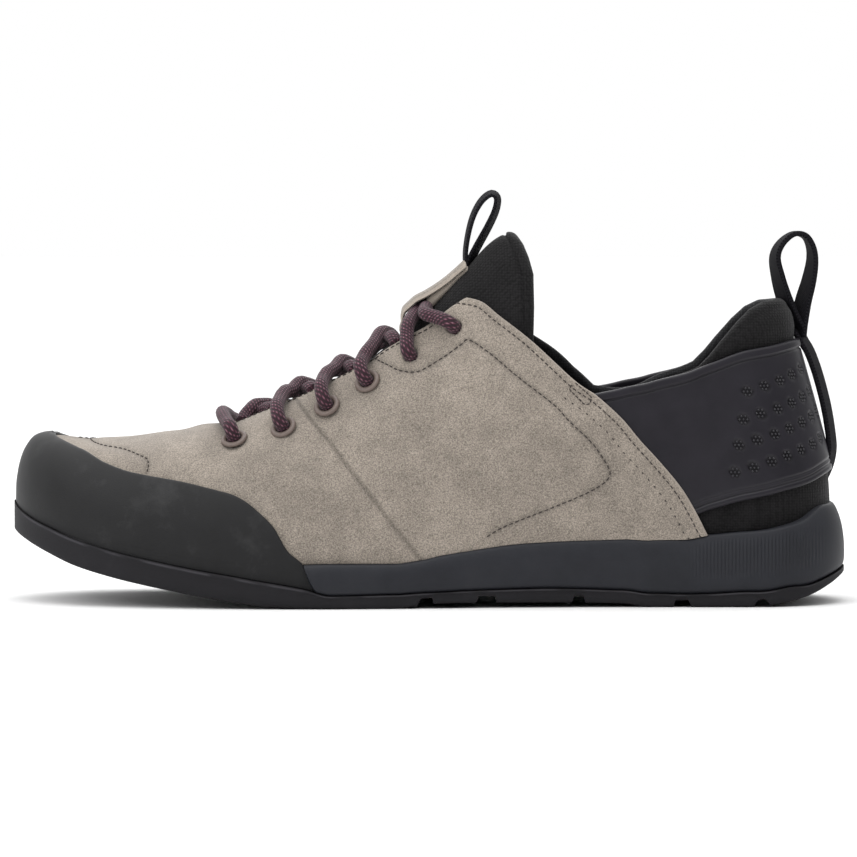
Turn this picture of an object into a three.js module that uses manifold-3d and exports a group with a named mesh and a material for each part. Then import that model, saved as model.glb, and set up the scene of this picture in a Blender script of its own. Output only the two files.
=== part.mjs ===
// Low approach-style casual shoe, left foot: suede upper, rubber toe rand, strapped heel.
// Millimetres, +Z up, +X towards the toe, +Y towards the outer side of the foot.
import * as THREE from 'three';
import { mergeVertices } from 'three/addons/utils/BufferGeometryUtils.js';
import Module from 'manifold-3d';

const wasm = await Module();
wasm.setup();

// Driving dimensions
const shoeLength = 280;
const ballWidth = 88;
const instepHeight = 77;
const heelHeight = 75;
const toeSpring = 24.3;
const outsoleEdge = 8.5;
const heelMidsole = 18;
const upperWall = 1.6;
const suedeThickness = 1.2;
const randThickness = 1.2;
const strapThickness = 1.2;
const tonguePadding = 4.5;
const keeperThickness = 1.6;
const insoleThickness = 4;
const laceDiameter = 4.4;
const eyeletBore = 5;
const eyeletTube = 0.4;
const eyeletFlange = 9;
const eyeletFlangeThickness = 0.7;
const webbingWidth = 9;
const webbingThickness = 1.8;
const loopWidth = 7;
const loopThickness = 1.2;
const treadDepth = 2.4;
const gap = 0.3;

// Where the upper's own form starts behind the sole's toe and in front of its heel
const toeInset = suedeThickness + gap + randThickness + 0.5;
const heelInset = 4.3;
const formStart = -shoeLength / 2 + heelInset;
const formLength = shoeLength - heelInset - toeInset;

// Resolution of the forms
const stationCount = 26;
const aroundCount = 20;

// A table becomes a list of rows with named columns
function table(columns, rows) {
    return rows.map((row) => Object.fromEntries(columns.map((name, index) => [name, row[index]])));
}

// Smooth column reading that never overshoots, so flat stretches stay flat
function reader(rows, key, value) {
    const x = rows.map((row) => row[key]);
    const y = rows.map((row) => row[value]);
    const secant = x.slice(1).map((end, i) => (y[i + 1] - y[i]) / (end - x[i]));
    const slope = x.map((_, i) => {
        if (i === 0) return secant[0];
        if (i === x.length - 1) return secant[i - 1];
        if (secant[i - 1] * secant[i] <= 0) return 0;
        return 2 / (1 / secant[i - 1] + 1 / secant[i]);
    });
    return (at) => {
        const t = THREE.MathUtils.clamp(at, x[0], x[x.length - 1]);
        let i = 0;
        while (i < x.length - 2 && t > x[i + 1]) i += 1;
        const span = x[i + 1] - x[i];
        const u = (t - x[i]) / span;
        const rise = (u * u) * (3 - 2 * u);
        const start = u * (1 - u) * (1 - u) * span;
        const end = u * u * (u - 1) * span;
        return y[i] + (y[i + 1] - y[i]) * rise + slope[i] * start + slope[i + 1] * end;
    };
}

// Sole sections. along: share of the shoe's length from the heel. spring: tread height as a share of the
// toe spring. rubber: outsole edge as a share of its full edge. foam: midsole as a share of the heel's.
// outer and inner: half widths from the axis as shares of the ball width.
const soleSections = table(['along', 'spring', 'rubber', 'foam', 'outer', 'inner'], [
    [0.000, 0.430, 0.18, 1.19, 0.400, 0.385],
    [0.020, 0.290, 0.30, 1.29, 0.402, 0.386],
    [0.048, 0.140, 0.42, 1.21, 0.405, 0.388],
    [0.075, 0.060, 0.58, 1.14, 0.408, 0.388],
    [0.100, 0.015, 0.57, 1.14, 0.410, 0.388],
    [0.120, 0.000, 0.60, 1.12, 0.410, 0.386],
    [0.165, 0.000, 0.52, 1.10, 0.408, 0.378],
    [0.195, 0.000, 0.50, 1.03, 0.405, 0.370],
    [0.236, 0.000, 0.53, 0.99, 0.402, 0.358],
    [0.268, 0.050, 0.51, 0.95, 0.402, 0.350],
    [0.360, 0.070, 0.54, 0.86, 0.412, 0.340],
    [0.396, 0.070, 0.52, 0.83, 0.420, 0.342],
    [0.461, 0.070, 0.46, 0.72, 0.445, 0.360],
    [0.484, 0.066, 0.43, 0.68, 0.457, 0.372],
    [0.511, 0.035, 0.49, 0.60, 0.472, 0.392],
    [0.540, 0.000, 0.54, 0.57, 0.490, 0.418],
    [0.615, 0.000, 0.50, 0.59, 0.525, 0.480],
    [0.648, 0.010, 0.74, 0.45, 0.536, 0.502],
    [0.698, 0.040, 0.94, 0.29, 0.543, 0.528],
    [0.732, 0.090, 1.00, 0.23, 0.542, 0.540],
    [0.762, 0.144, 1.01, 0.20, 0.538, 0.545],
    [0.798, 0.222, 1.01, 0.18, 0.528, 0.545],
    [0.838, 0.313, 1.02, 0.17, 0.520, 0.538],
    [0.863, 0.374, 1.02, 0.17, 0.516, 0.532],
    [0.920, 0.550, 1.04, 0.17, 0.510, 0.525],
    [0.955, 0.720, 1.00, 0.17, 0.508, 0.520],
    [0.975, 0.830, 0.97, 0.17, 0.506, 0.516],
    [0.990, 0.925, 0.98, 0.17, 0.505, 0.514],
    [1.000, 1.000, 1.06, 0.17, 0.505, 0.514],
]);

// Upper sections. along: share of the form's length from the heel. axis, outer and inner: sideways shares
// of the ball width. crown: closed top above the foot line, in shares of the local height. lean: how much
// the sides close in towards the top. square: how boxy the section is.
const upperSections = table(['along', 'axis', 'outer', 'inner', 'crown', 'lean', 'square'], [
    [0.000, 0.000, 0.352, 0.342, 1.170, 0.08, 2.2],
    [0.050, 0.000, 0.362, 0.350, 1.300, 0.10, 2.2],
    [0.110, 0.000, 0.372, 0.356, 1.380, 0.12, 2.2],
    [0.170, 0.002, 0.380, 0.358, 1.440, 0.14, 2.2],
    [0.235, 0.006, 0.382, 0.350, 1.445, 0.15, 2.2],
    [0.290, 0.010, 0.384, 0.342, 1.415, 0.16, 2.2],
    [0.371, 0.016, 0.395, 0.332, 1.365, 0.20, 2.2],
    [0.400, 0.017, 0.402, 0.334, 1.335, 0.22, 2.2],
    [0.433, 0.018, 0.411, 0.340, 1.285, 0.24, 2.2],
    [0.462, 0.018, 0.420, 0.350, 1.215, 0.26, 2.3],
    [0.495, 0.015, 0.433, 0.366, 1.100, 0.28, 2.4],
    [0.538, 0.010, 0.450, 0.390, 0.985, 0.28, 2.5],
    [0.569, 0.006, 0.464, 0.412, 0.897, 0.26, 2.4],
    [0.600, 0.001, 0.476, 0.434, 0.825, 0.24, 2.3],
    [0.663, -0.010, 0.494, 0.472, 0.712, 0.17, 2.15],
    [0.736, -0.025, 0.500, 0.496, 0.588, 0.08, 2.05],
    [0.804, -0.041, 0.490, 0.498, 0.508, 0.02, 2.2],
    [0.878, -0.062, 0.482, 0.488, 0.420, 0.00, 2.5],
    [0.930, -0.077, 0.478, 0.478, 0.362, 0.00, 2.6],
    [0.953, -0.084, 0.477, 0.477, 0.341, 0.00, 2.6],
    [0.968, -0.088, 0.476, 0.476, 0.320, 0.00, 2.5],
    [0.980, -0.091, 0.475, 0.475, 0.292, 0.00, 2.4],
    [0.990, -0.094, 0.474, 0.474, 0.230, 0.00, 2.3],
    [0.996, -0.095, 0.473, 0.473, 0.160, 0.00, 2.2],
    [1.000, -0.096, 0.472, 0.472, 0.078, 0.00, 2.2],
]);

const soleRead = Object.fromEntries(
    ['spring', 'rubber', 'foam', 'outer', 'inner']
        .map((name) => [name, reader(soleSections, 'along', name)]),
);
const upperRead = Object.fromEntries(
    ['axis', 'outer', 'inner', 'crown', 'lean', 'square']
        .map((name) => [name, reader(upperSections, 'along', name)]),
);

// Round ends of the plan outline, as quarters of a superellipse
const toeRoundStart = 0.78;
const toeRoundPower = 2.3;
const heelRoundEnd = 0.115;
const heelRoundPower = 2.2;

function endRound(along) {
    const quarter = (t, power) => (1 - Math.min(1, Math.max(0, t)) ** power) ** (1 / power);
    const toe = quarter((along - toeRoundStart) / (1 - toeRoundStart), toeRoundPower);
    const heel = quarter((heelRoundEnd - along) / heelRoundEnd, heelRoundPower);
    return Math.min(toe, heel);
}

// Heights of the sole's layers at a place along the shoe
const soleX = (along) => (along - 0.5) * shoeLength;
const soleAlong = (x) => x / shoeLength + 0.5;
const treadZ = (x) => toeSpring * soleRead.spring(soleAlong(x));
const outsoleTopZ = (x) => treadZ(x) + outsoleEdge * soleRead.rubber(soleAlong(x));
const footLineZ = (x) => outsoleTopZ(x) + heelMidsole * soleRead.foam(soleAlong(x));

// The form of the upper: one smooth surface over the last
const formX = (along) => formStart + along * formLength;
const formAlong = (x) => (x - formStart) / formLength;
const axisY = (x) => ballWidth * upperRead.axis(formAlong(x));
const localHeight = (along) => THREE.MathUtils.lerp(
    heelHeight, instepHeight, THREE.MathUtils.smoothstep(along, 0.1, 0.5),
);

// The back of the heel leans forward above the counter
const heelLeanSlope = 0.29;
const heelLeanStart = 0.15;
const heelLeanBlend = 0.13;
const heelLeanReach = 0.3;

function heelLean(along, height) {
    const rise = height - heelLeanStart * heelHeight;
    const soft = heelLeanBlend * heelHeight;
    const fade = Math.max(0, 1 - along / heelLeanReach) ** 2;
    return heelLeanSlope * fade * (rise + Math.hypot(rise, soft)) / 2;
}

// The wall tucks in a little just above the sole
const tuckShare = 0.03;
const tuckHeight = 0.08 * instepHeight;

function formPoint(along, angle) {
    const bottom = footLineZ(formX(along));
    const height = localHeight(along) * upperRead.crown(along);
    const power = upperRead.square(along);
    const fromSole = Math.min(angle, Math.PI - angle);
    const sign = angle < Math.PI / 2 ? 1 : -1;
    const across = Math.max(0, Math.cos(fromSole));
    const up = Math.max(0, Math.sin(fromSole));
    const radius = (across ** power + up ** power) ** (-1 / power);
    const share = radius * up;
    const side = sign > 0 ? upperRead.outer(along) : upperRead.inner(along);
    const tuck = 1 - tuckShare * Math.exp(-share * height / tuckHeight);
    const half = ballWidth * side * endRound(along) * (1 - upperRead.lean(along) * share) * tuck;
    return new THREE.Vector3(
        formX(along) + heelLean(along, share * height),
        ballWidth * upperRead.axis(along) + sign * half * radius * across,
        bottom + share * height,
    );
}

function formNormal(along, angle) {
    if (along <= 0) return new THREE.Vector3(-1, 0, 0);
    if (along >= 1) return new THREE.Vector3(1, 0, 0);
    const step = 2e-4;
    const ahead = formPoint(Math.min(1 - 1e-6, along + step), angle);
    const behind = formPoint(Math.max(1e-6, along - step), angle);
    const over = formPoint(along, Math.min(Math.PI, angle + step));
    const under = formPoint(along, Math.max(0, angle - step));
    const normal = over.sub(under).cross(ahead.sub(behind)).normalize();
    const foot = angle <= 0 || angle >= Math.PI;
    return foot ? normal.setZ(0).normalize() : normal;
}

// A point of the form moved out (or in, when negative) from its surface
function skinPoint(along, angle, out) {
    const point = formPoint(along, angle).addScaledVector(formNormal(along, angle), out);
    if (angle <= 0 || angle >= Math.PI) point.z = footLineZ(point.x);
    return point;
}

// The angle at which the section reaches a sideways place, found by halving
function angleAt(along, sideways) {
    let low = 0.12 * Math.PI;
    let high = 0.88 * Math.PI;
    for (let turn = 0; turn < 30; turn += 1) {
        const middle = (low + high) / 2;
        if (formPoint(along, middle).y - ballWidth * upperRead.axis(along) > sideways) low = middle;
        else high = middle;
    }
    return (low + high) / 2;
}

// A place on the form by its distance along and sideways from the axis
const onForm = (along, sideways, out) => skinPoint(along, angleAt(along, sideways), out);

// A point of a side outline: along the form, and up from the foot line in shares of the local height
const sidePoint = ([along, up]) => [formX(along), footLineZ(formX(along)) + up * localHeight(along)];

// Solids
function toSolid(geometry) {
    const bare = geometry.index ? geometry.toNonIndexed() : geometry.clone();
    bare.deleteAttribute('normal');
    bare.deleteAttribute('uv');
    const merged = mergeVertices(bare, 1e-4);
    const index = merged.index.array;
    const kept = [];
    for (let i = 0; i < index.length; i += 3) {
        const [a, b, c] = [index[i], index[i + 1], index[i + 2]];
        if (a !== b && b !== c && c !== a) kept.push(a, b, c);
    }
    const position = merged.attributes.position.array;
    const at = (i) => new THREE.Vector3().fromArray(position, 3 * i);
    let volume = 0;
    for (let i = 0; i < kept.length; i += 3) {
        volume += at(kept[i]).dot(at(kept[i + 1]).cross(at(kept[i + 2])));
    }
    if (volume < 0) kept.reverse();
    return new wasm.Manifold(new wasm.Mesh({
        numProp: 3,
        vertProperties: new Float32Array(position),
        triVerts: new Uint32Array(kept),
    }));
}

// A closed skin over rings of points, all with the same count, with flat ends
function loft(rings) {
    const corners = [];
    const quad = (a, b, c, d) => corners.push(a, b, c, a, c, d);
    const count = rings[0].length;
    for (let i = 0; i + 1 < rings.length; i += 1) {
        for (let j = 0; j < count; j += 1) {
            const next = (j + 1) % count;
            quad(rings[i][j], rings[i + 1][j], rings[i + 1][next], rings[i][next]);
        }
    }
    const addEnd = (ring, turned) => {
        const widths = ring.map((point) => point.y);
        if (Math.max(...widths) - Math.min(...widths) < 1e-3) return;
        const centre = ring.reduce((sum, point) => sum.add(point), new THREE.Vector3());
        centre.divideScalar(count);
        ring.forEach((point, j) => {
            const next = ring[(j + 1) % count];
            if (turned) corners.push(centre, next, point);
            else corners.push(centre, point, next);
        });
    };
    addEnd(rings[0], false);
    addEnd(rings[rings.length - 1], true);
    return toSolid(new THREE.BufferGeometry().setFromPoints(corners));
}

const formStations = Array.from(
    { length: stationCount + 1 },
    (_, i) => (1 - Math.cos(Math.PI * i / stationCount)) / 2,
);

// The form grown by a layer, between two places along it, its foot lowered by a skirt
function form(out, skirt = 0, from = 0, to = 1) {
    const stations = formStations.filter((along) => along > from + 1e-3 && along < to - 1e-3);
    const rings = [from, ...stations, to].map((along) => {
        const ring = [];
        for (let j = 0; j <= aroundCount; j += 1) {
            ring.push(skinPoint(along, Math.PI * (j / aroundCount), out));
        }
        ring[0].z -= skirt;
        ring[aroundCount].z -= skirt;
        return ring;
    });
    return loft(rings);
}

// A side outline in x and z, pushed across the shoe from one y to another
function sidePrism(points, from = -ballWidth, to = ballWidth) {
    const shape = new THREE.Shape(points.map(([x, z]) => new THREE.Vector2(x, z)));
    const geometry = new THREE.ExtrudeGeometry(shape, { depth: to - from, bevelEnabled: false });
    geometry.rotateX(Math.PI / 2).translate(0, to, 0);
    return toSolid(geometry);
}

// A plan outline in x and y, pushed up from one z to another
function planPrism(points, from, to) {
    const shape = new THREE.Shape(points.map(([x, y]) => new THREE.Vector2(x, y)));
    const geometry = new THREE.ExtrudeGeometry(shape, { depth: to - from, bevelEnabled: false });
    geometry.translate(0, 0, from);
    return toSolid(geometry);
}

// Places along the sole where its sections stand, closer together at the ends
const soleEnd = 0.24;
const soleMiddle = 1 - 2 * soleEnd;
const heelSections = 9;
const middleSections = 18;
const toeSections = 11;
const soleStations = [0];
for (let i = 1; i <= heelSections; i += 1) {
    soleStations.push(soleEnd * (1 - Math.cos(Math.PI / 2 * i / heelSections)));
}
for (let i = 1; i <= middleSections; i += 1) {
    soleStations.push(soleEnd + soleMiddle * i / middleSections);
}
for (let i = 1; i <= toeSections; i += 1) {
    soleStations.push(1 - soleEnd + soleEnd * Math.sin(Math.PI / 2 * i / toeSections));
}

// A slab between two height functions of x, right across the shoe
function slab(lowZ, highZ, from, to) {
    const xs = soleStations.filter((along) => along >= from && along <= to).map(soleX);
    return sidePrism([...xs.map((x) => [x, lowZ(x)]), ...xs.reverse().map((x) => [x, highZ(x)])]);
}

// Limits that lie outside the whole shoe
const farX = 0.6 * shoeLength;
const farZ = 3 * instepHeight;

// Outline of the suede's back edge, from its top corner down to the sole
const suedeEdge = [
    [0.452, 1.085], [0.433, 1.060], [0.411, 0.990], [0.371, 0.869], [0.318, 0.690], [0.292, 0.622],
    [0.262, 0.523], [0.241, 0.436], [0.218, 0.347], [0.192, 0.233], [0.175, 0.129], [0.157, -0.010],
];

// Collar lines, from the throat back to the heel; the inner side stands a little higher
const collarOuter = [
    [0.461, 1.082], [0.433, 1.056], [0.411, 0.988], [0.371, 0.869], [0.318, 0.690], [0.292, 0.631],
    [0.270, 0.652], [0.218, 0.705], [0.168, 0.752], [0.155, 0.792], [0.140, 0.855], [0.120, 0.930],
    [0.102, 0.985], [0.084, 1.010], [0.060, 1.005], [0.000, 0.985],
];
const innerCollarRise = 0.045;
const innerCollarPeak = 0.31;
const innerCollarSpread = 0.07;
const collarInner = collarOuter.map(([along, up]) => {
    const away = (along - innerCollarPeak) / innerCollarSpread;
    return [along, up + innerCollarRise * Math.exp(-away * away)];
});

// Throat: half width of the opening at places along the form
const throatSections = table(['along', 'half'], [
    [0.440, 0.182], [0.462, 0.180], [0.495, 0.168], [0.538, 0.148], [0.600, 0.125], [0.663, 0.108],
    [0.710, 0.096], [0.735, 0.084], [0.750, 0.058], [0.757, 0.000],
]);
const throatHalf = (along) => ballWidth * reader(throatSections, 'along', 'half')(along);

function throatOutline() {
    const steps = 22;
    const first = throatSections[0].along - 0.03;
    const last = throatSections[throatSections.length - 1].along;
    const half = [];
    for (let i = 0; i <= steps; i += 1) {
        const along = THREE.MathUtils.lerp(first, last, Math.sin(Math.PI / 2 * i / steps));
        half.push([formX(along), axisY(formX(along)), throatHalf(along)]);
    }
    const outer = half.map(([x, y, w]) => [x, y + w]);
    const inner = half.slice(0, -1).reverse().map(([x, y, w]) => [x, y - w]);
    return [...outer, ...inner];
}

// Lace rows: along the form, and sideways from the axis in shares of the ball width
const laceRows = table(['along', 'out', 'ringed'], [
    [0.735, 0.240, true],
    [0.674, 0.260, true],
    [0.621, 0.240, true],
    [0.571, 0.222, true],
    [0.519, 0.218, false],
    [0.466, 0.224, false],
]);

// The place and outward direction of a lace hole; the inner side mirrors the outer's angle
function laceHole(row, side) {
    const outerAngle = angleAt(row.along, row.out * ballWidth);
    const angle = side > 0 ? outerAngle : Math.PI - outerAngle;
    return {
        point: skinPoint(row.along, angle, suedeThickness),
        normal: formNormal(row.along, angle),
    };
}

function alignZ(geometry, { point, normal }) {
    const turn = new THREE.Quaternion().setFromUnitVectors(new THREE.Vector3(0, 0, 1), normal);
    return geometry.applyQuaternion(turn).translate(point.x, point.y, point.z);
}

const wallUnderSuede = upperWall + suedeThickness;
const eyeletBarrelRadius = eyeletBore / 2 + eyeletTube;

// Everything in front of the suede's back edge, moved along the shoe by a shift
function suedeRegion(shift) {
    const edge = suedeEdge.map(sidePoint).map(([x, z]) => [x + shift, z]);
    return sidePrism([...edge, [farX, -farZ], [farX, farZ], [edge[0][0], farZ]]);
}

const holeSides = 12;
const throatCutFrom = 0.35 * instepHeight;

function makeUpper() {
    const skirt = 2 * insoleThickness;
    const suede = form(suedeThickness, skirt).intersect(suedeRegion(0));
    const collarCut = (line, from, to) => {
        const points = line.map(sidePoint);
        const back = [-farX, points[points.length - 1][1]];
        return sidePrism([...points, back, [-farX, farZ], [points[0][0], farZ]], from, to);
    };
    let upper = form(0, skirt).add(suede)
        .subtract(form(-upperWall, skirt))
        .intersect(slab(footLineZ, () => farZ, 0, 1))
        .subtract(collarCut(collarOuter, 0, ballWidth))
        .subtract(collarCut(collarInner, -ballWidth, 0))
        .subtract(planPrism(throatOutline(), throatCutFrom, farZ));
    for (const row of laceRows) {
        for (const side of [1, -1]) {
            const radius = row.ringed ? eyeletBarrelRadius + gap : laceDiameter / 2 + gap;
            const drill = new THREE.CylinderGeometry(radius, radius, 4 * wallUnderSuede, holeSides);
            drill.rotateX(Math.PI / 2);
            upper = upper.subtract(toSolid(alignZ(drill, laceHole(row, side))));
        }
    }
    return upper;
}

// Rubber round the toe: its top edge drops from the toe's top back to the sole
const randEdge = [
    [0.968, 0.372], [0.955, 0.345], [0.922, 0.327], [0.891, 0.308], [0.860, 0.301], [0.804, 0.306],
    [0.742, 0.287], [0.721, 0.262], [0.703, 0.218], [0.687, 0.164], [0.668, 0.056], [0.651, 0.003],
    [0.640, -0.081], [0.630, -0.150],
];

const randRegion = (shift) => {
    const edge = randEdge.map(sidePoint).map(([x, z]) => [x + shift, z]);
    const last = edge[edge.length - 1];
    return sidePrism([[edge[0][0], farZ], ...edge, [last[0], -farZ], [farX, -farZ], [farX, farZ]]);
};

function makeToeRand() {
    const inside = suedeThickness + gap;
    const skirt = 1.6 * outsoleEdge;
    const aboveOutsole = slab((x) => outsoleTopZ(x) + gap, () => farZ, 0.5, 1);
    return form(inside + randThickness, skirt)
        .subtract(form(inside, 2 * skirt))
        .intersect(randRegion(0))
        .intersect(aboveOutsole);
}

// Panel round the heel, between the suede's back edges of the two sides
const strapTop = [
    [0.330, 0.600], [0.288, 0.640], [0.270, 0.652], [0.218, 0.700], [0.161, 0.745], [0.102, 0.798],
    [0.041, 0.808], [0.0, 0.800],
];
const strapBottom = [
    [0.0, 0.150], [0.030, 0.158], [0.062, 0.155], [0.109, 0.138], [0.150, 0.112], [0.172, 0.095],
    [0.220, 0.060],
];

function makeHeelStrap() {
    const top = strapTop.map(sidePoint);
    const bottom = strapBottom.map(sidePoint);
    const region = sidePrism([...top, [-farX, top[top.length - 1][1]], [-farX, bottom[0][1]], ...bottom])
        .subtract(suedeRegion(-2 * gap));
    return form(gap + strapThickness).subtract(form(gap)).intersect(region);
}

// Half width of the sole on one side at a place along it
function soleHalf(along, side) {
    const share = side > 0 ? soleRead.outer(along) : soleRead.inner(along);
    return ballWidth * endRound(along) * share;
}

// Sole sections from an edge profile, given as steps out from the outline at heights in one section
function soleLoft(edge, stations) {
    return loft(stations.map((along) => {
        const x = soleX(along);
        const centre = axisY(x);
        const rows = edge(x);
        const point = (side, [out, z]) => {
            const half = Math.max(0, soleHalf(along, side) + out * endRound(along));
            return new THREE.Vector3(x, centre + side * half, z);
        };
        return [...rows.map((row) => point(1, row)), ...[...rows].reverse().map((row) => point(-1, row))];
    }));
}

// Grooves across the tread. along: place. wide: along the shoe in mm. across: share of the sole's width.
const treadGrooves = table(['along', 'wide', 'across'], [
    [0.046, 3.0, 1.2], [0.104, 3.5, 1.2], [0.134, 4.0, 0.70], [0.165, 4.0, 0.72], [0.199, 5.0, 1.2],
    [0.322, 3.5, 1.2], [0.431, 6.0, 1.2], [0.503, 4.5, 1.2], [0.545, 4.5, 0.78], [0.582, 4.5, 0.80],
    [0.619, 4.5, 0.82], [0.656, 4.5, 0.82], [0.693, 4.5, 0.82], [0.730, 4.5, 0.80], [0.767, 4.5, 0.76],
]);

function makeOutsole() {
    const bevel = 1.2;
    let outsole = soleLoft((x) => [
        [-bevel, treadZ(x)],
        [0, Math.min(treadZ(x) + bevel, (treadZ(x) + outsoleTopZ(x)) / 2)],
        [0, outsoleTopZ(x)],
    ], soleStations);
    for (const groove of treadGrooves) {
        const x = soleX(groove.along);
        const width = soleHalf(groove.along, 1) + soleHalf(groove.along, -1);
        const slope = Math.atan2(treadZ(x + 1) - treadZ(x - 1), 2);
        const box = new THREE.BoxGeometry(groove.wide, groove.across * width, 2 * treadDepth);
        box.rotateY(-slope).translate(x, axisY(x), treadZ(x));
        outsole = outsole.subtract(toSolid(box));
    }
    return outsole;
}

// Wall of the foam cup. out: step out from the sole's outline in mm. up: share of the wall's height.
const foamWall = table(['out', 'up'], [[-0.8, 0], [0.2, 0.25], [0.3, 0.6], [-0.6, 0.9], [-1.4, 1]]);
const foamCupEnd = 0.70;

// The foam is a wide cup behind the rand and a thin layer inside it
function makeMidsole() {
    const edge = (x) => {
        const low = outsoleTopZ(x) + gap;
        const high = footLineZ(x) - gap;
        return foamWall.map(({ out, up }) => [out, THREE.MathUtils.lerp(low, high, up)]);
    };
    const behindRand = soleStations.filter((along) => along < foamCupEnd);
    const cup = soleLoft(edge, behindRand).subtract(randRegion(-gap));
    const inner = [];
    for (const angle of [0, Math.PI]) {
        const side = formStations.filter((along) => along > 0.5)
            .map((along) => skinPoint(along, angle, suedeThickness - gap));
        inner.push(...(angle === 0 ? side : side.slice(0, -1).reverse()));
    }
    const layer = planPrism(inner.map(({ x, y }) => [x, y]), 0, instepHeight)
        .intersect(slab((x) => outsoleTopZ(x) + gap, (x) => footLineZ(x) - gap, 0.5, 1));
    return cup.add(layer);
}

function makeInsole() {
    const bed = slab(footLineZ, (x) => footLineZ(x) + insoleThickness, 0, 1);
    return form(-upperWall - gap, 2 * insoleThickness).intersect(bed);
}

// Tongue: padded sheet inside the instep, its wings inside the quarters
const tongueOutline = [
    [0.775, 0.900], [0.775, 0.330], [0.700, 0.400], [0.620, 0.480], [0.540, 0.560], [0.450, 0.640],
    [0.400, 0.700], [0.376, 0.780], [0.370, 0.876], [0.369, 1.027], [0.370, 1.175], [0.376, 1.250],
    [0.383, 1.310], [0.392, 1.350], [0.405, 1.600], [0.500, 1.600],
];

const instepStart = 0.32;
const instepEnd = 0.80;
const instepMargin = 0.02;

function makeTongue() {
    const outside = -upperWall - gap;
    const [from, to] = [instepStart - instepMargin, instepEnd + instepMargin];
    const inside = form(outside - tonguePadding, insoleThickness, from, to);
    return form(outside, 0, instepStart, instepEnd)
        .subtract(inside)
        .intersect(sidePrism(tongueOutline.map(sidePoint)));
}

// A thin closed sheet over the tongue, from rows of lifts above it
function sheetOnTongue(rows, half, thickness) {
    const columns = 4;
    return loft(rows.map(({ along, lift }) => {
        const place = (j, extra) => {
            const sideways = THREE.MathUtils.lerp(half, -half, j / columns);
            return onForm(along, sideways, -upperWall - gap + lift + extra);
        };
        const low = Array.from({ length: columns + 1 }, (_, j) => place(j, 0));
        const high = Array.from({ length: columns + 1 }, (_, j) => place(columns - j, thickness));
        return [...low, ...high];
    }));
}

// Keeper: suede strip that bows up over the lace. bow: share of the height that the lace needs
const keeperRows = table(['along', 'bow'], [
    [0.462, 0.00], [0.470, 0.05], [0.478, 0.35], [0.485, 0.75], [0.492, 1.00], [0.505, 1.05], [0.517, 1.00],
    [0.524, 0.70], [0.528, 0.25], [0.531, 0.00],
]);
const keeperHalf = 0.08 * ballWidth;

function makeTongueKeeper() {
    const height = laceDiameter + 3 * gap;
    const rows = keeperRows.map(({ along, bow }) => ({ along, lift: 3 * gap + bow * height }));
    return sheetOnTongue(rows, keeperHalf, keeperThickness);
}

// Webbing along points of the side view, at a sideways place, turned about its run one way then the other
function webbing(points, sideways, width, thickness, twist) {
    const curve = new THREE.CatmullRomCurve3(
        points.map(sidePoint).map(([x, z]) => new THREE.Vector3(x, 0, z)),
    );
    const steps = Math.round(1.4 * points.length);
    const rings = Array.from({ length: steps + 1 }, (_, i) => {
        const t = i / steps;
        const point = curve.getPointAt(t);
        const run = curve.getTangentAt(t);
        const turn = twist * Math.cos(Math.PI * t);
        const normal = new THREE.Vector3(-run.z, 0, run.x);
        const across = new THREE.Vector3(0, Math.cos(turn), 0).addScaledVector(normal, Math.sin(turn));
        const through = new THREE.Vector3(0, -Math.sin(turn), 0).addScaledVector(normal, Math.cos(turn));
        const corner = (a, b) => point.clone().add(new THREE.Vector3(0, sideways, 0))
            .addScaledVector(across, a * width / 2)
            .addScaledVector(through, b * thickness / 2);
        return [corner(1, 1), corner(-1, 1), corner(-1, -1), corner(1, -1)];
    });
    return loft(rings);
}

// Heel pull: a loop above the collar, and its tail bowed down the back of the heel
const heelLoopPath = [
    [0.040, 0.830], [0.050, 0.910], [0.059, 1.000], [0.066, 1.094], [0.070, 1.186], [0.063, 1.243],
    [0.048, 1.275], [0.034, 1.255], [0.026, 1.195], [0.024, 1.125], [0.028, 1.044], [0.035, 0.960],
    [0.037, 0.870],
];
const heelTailPath = [
    [0.037, 0.890], [0.035, 0.830], [0.028, 0.755], [0.016, 0.610], [0.005, 0.438], [-0.001, 0.300],
    [-0.003, 0.214], [-0.001, 0.150], [0.006, 0.090],
];
const heelPullTwist = 0.42;

function makeHeelPull() {
    const clearance = form(strapThickness + 2 * gap, 0, 0, 0.3);
    return webbing(heelLoopPath, 0, webbingWidth, webbingThickness, heelPullTwist)
        .add(webbing(heelTailPath, 0, webbingWidth, webbingThickness, 0))
        .subtract(clearance);
}

// Tongue pull: a thin loop standing on the tongue's front
const tongueLoopPath = [
    [0.452, 1.190], [0.452, 1.296], [0.445, 1.415], [0.434, 1.490], [0.421, 1.522], [0.413, 1.500],
    [0.415, 1.446], [0.424, 1.379], [0.437, 1.301], [0.446, 1.240],
];

const tongueLoopTwist = 0.35;

function makeTongueLoop() {
    const clearance = form(-upperWall, 0, instepStart, instepEnd);
    const sideways = axisY(formX(tongueLoopPath[0][0]));
    return webbing(tongueLoopPath, sideways, loopWidth, loopThickness, tongueLoopTwist)
        .subtract(clearance);
}

// Ring and barrel of one eyelet, its barrel through the wall
function eyeletGeometry() {
    const seat = 2 * gap;
    const top = seat + eyeletFlangeThickness;
    const profile = [
        [eyeletBore / 2, gap - wallUnderSuede], [eyeletBarrelRadius, gap - wallUnderSuede],
        [eyeletBarrelRadius, seat], [eyeletFlange / 2, seat], [0.92 * eyeletFlange / 2, top],
        [eyeletBore / 2, top],
    ];
    const closed = [...profile, profile[0]].map(([r, z]) => new THREE.Vector2(r, z));
    return new THREE.LatheGeometry(closed, 10).rotateX(Math.PI / 2);
}

const makeEyelet = (row, side) => toSolid(alignZ(eyeletGeometry(), laceHole(row, side)));

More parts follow.
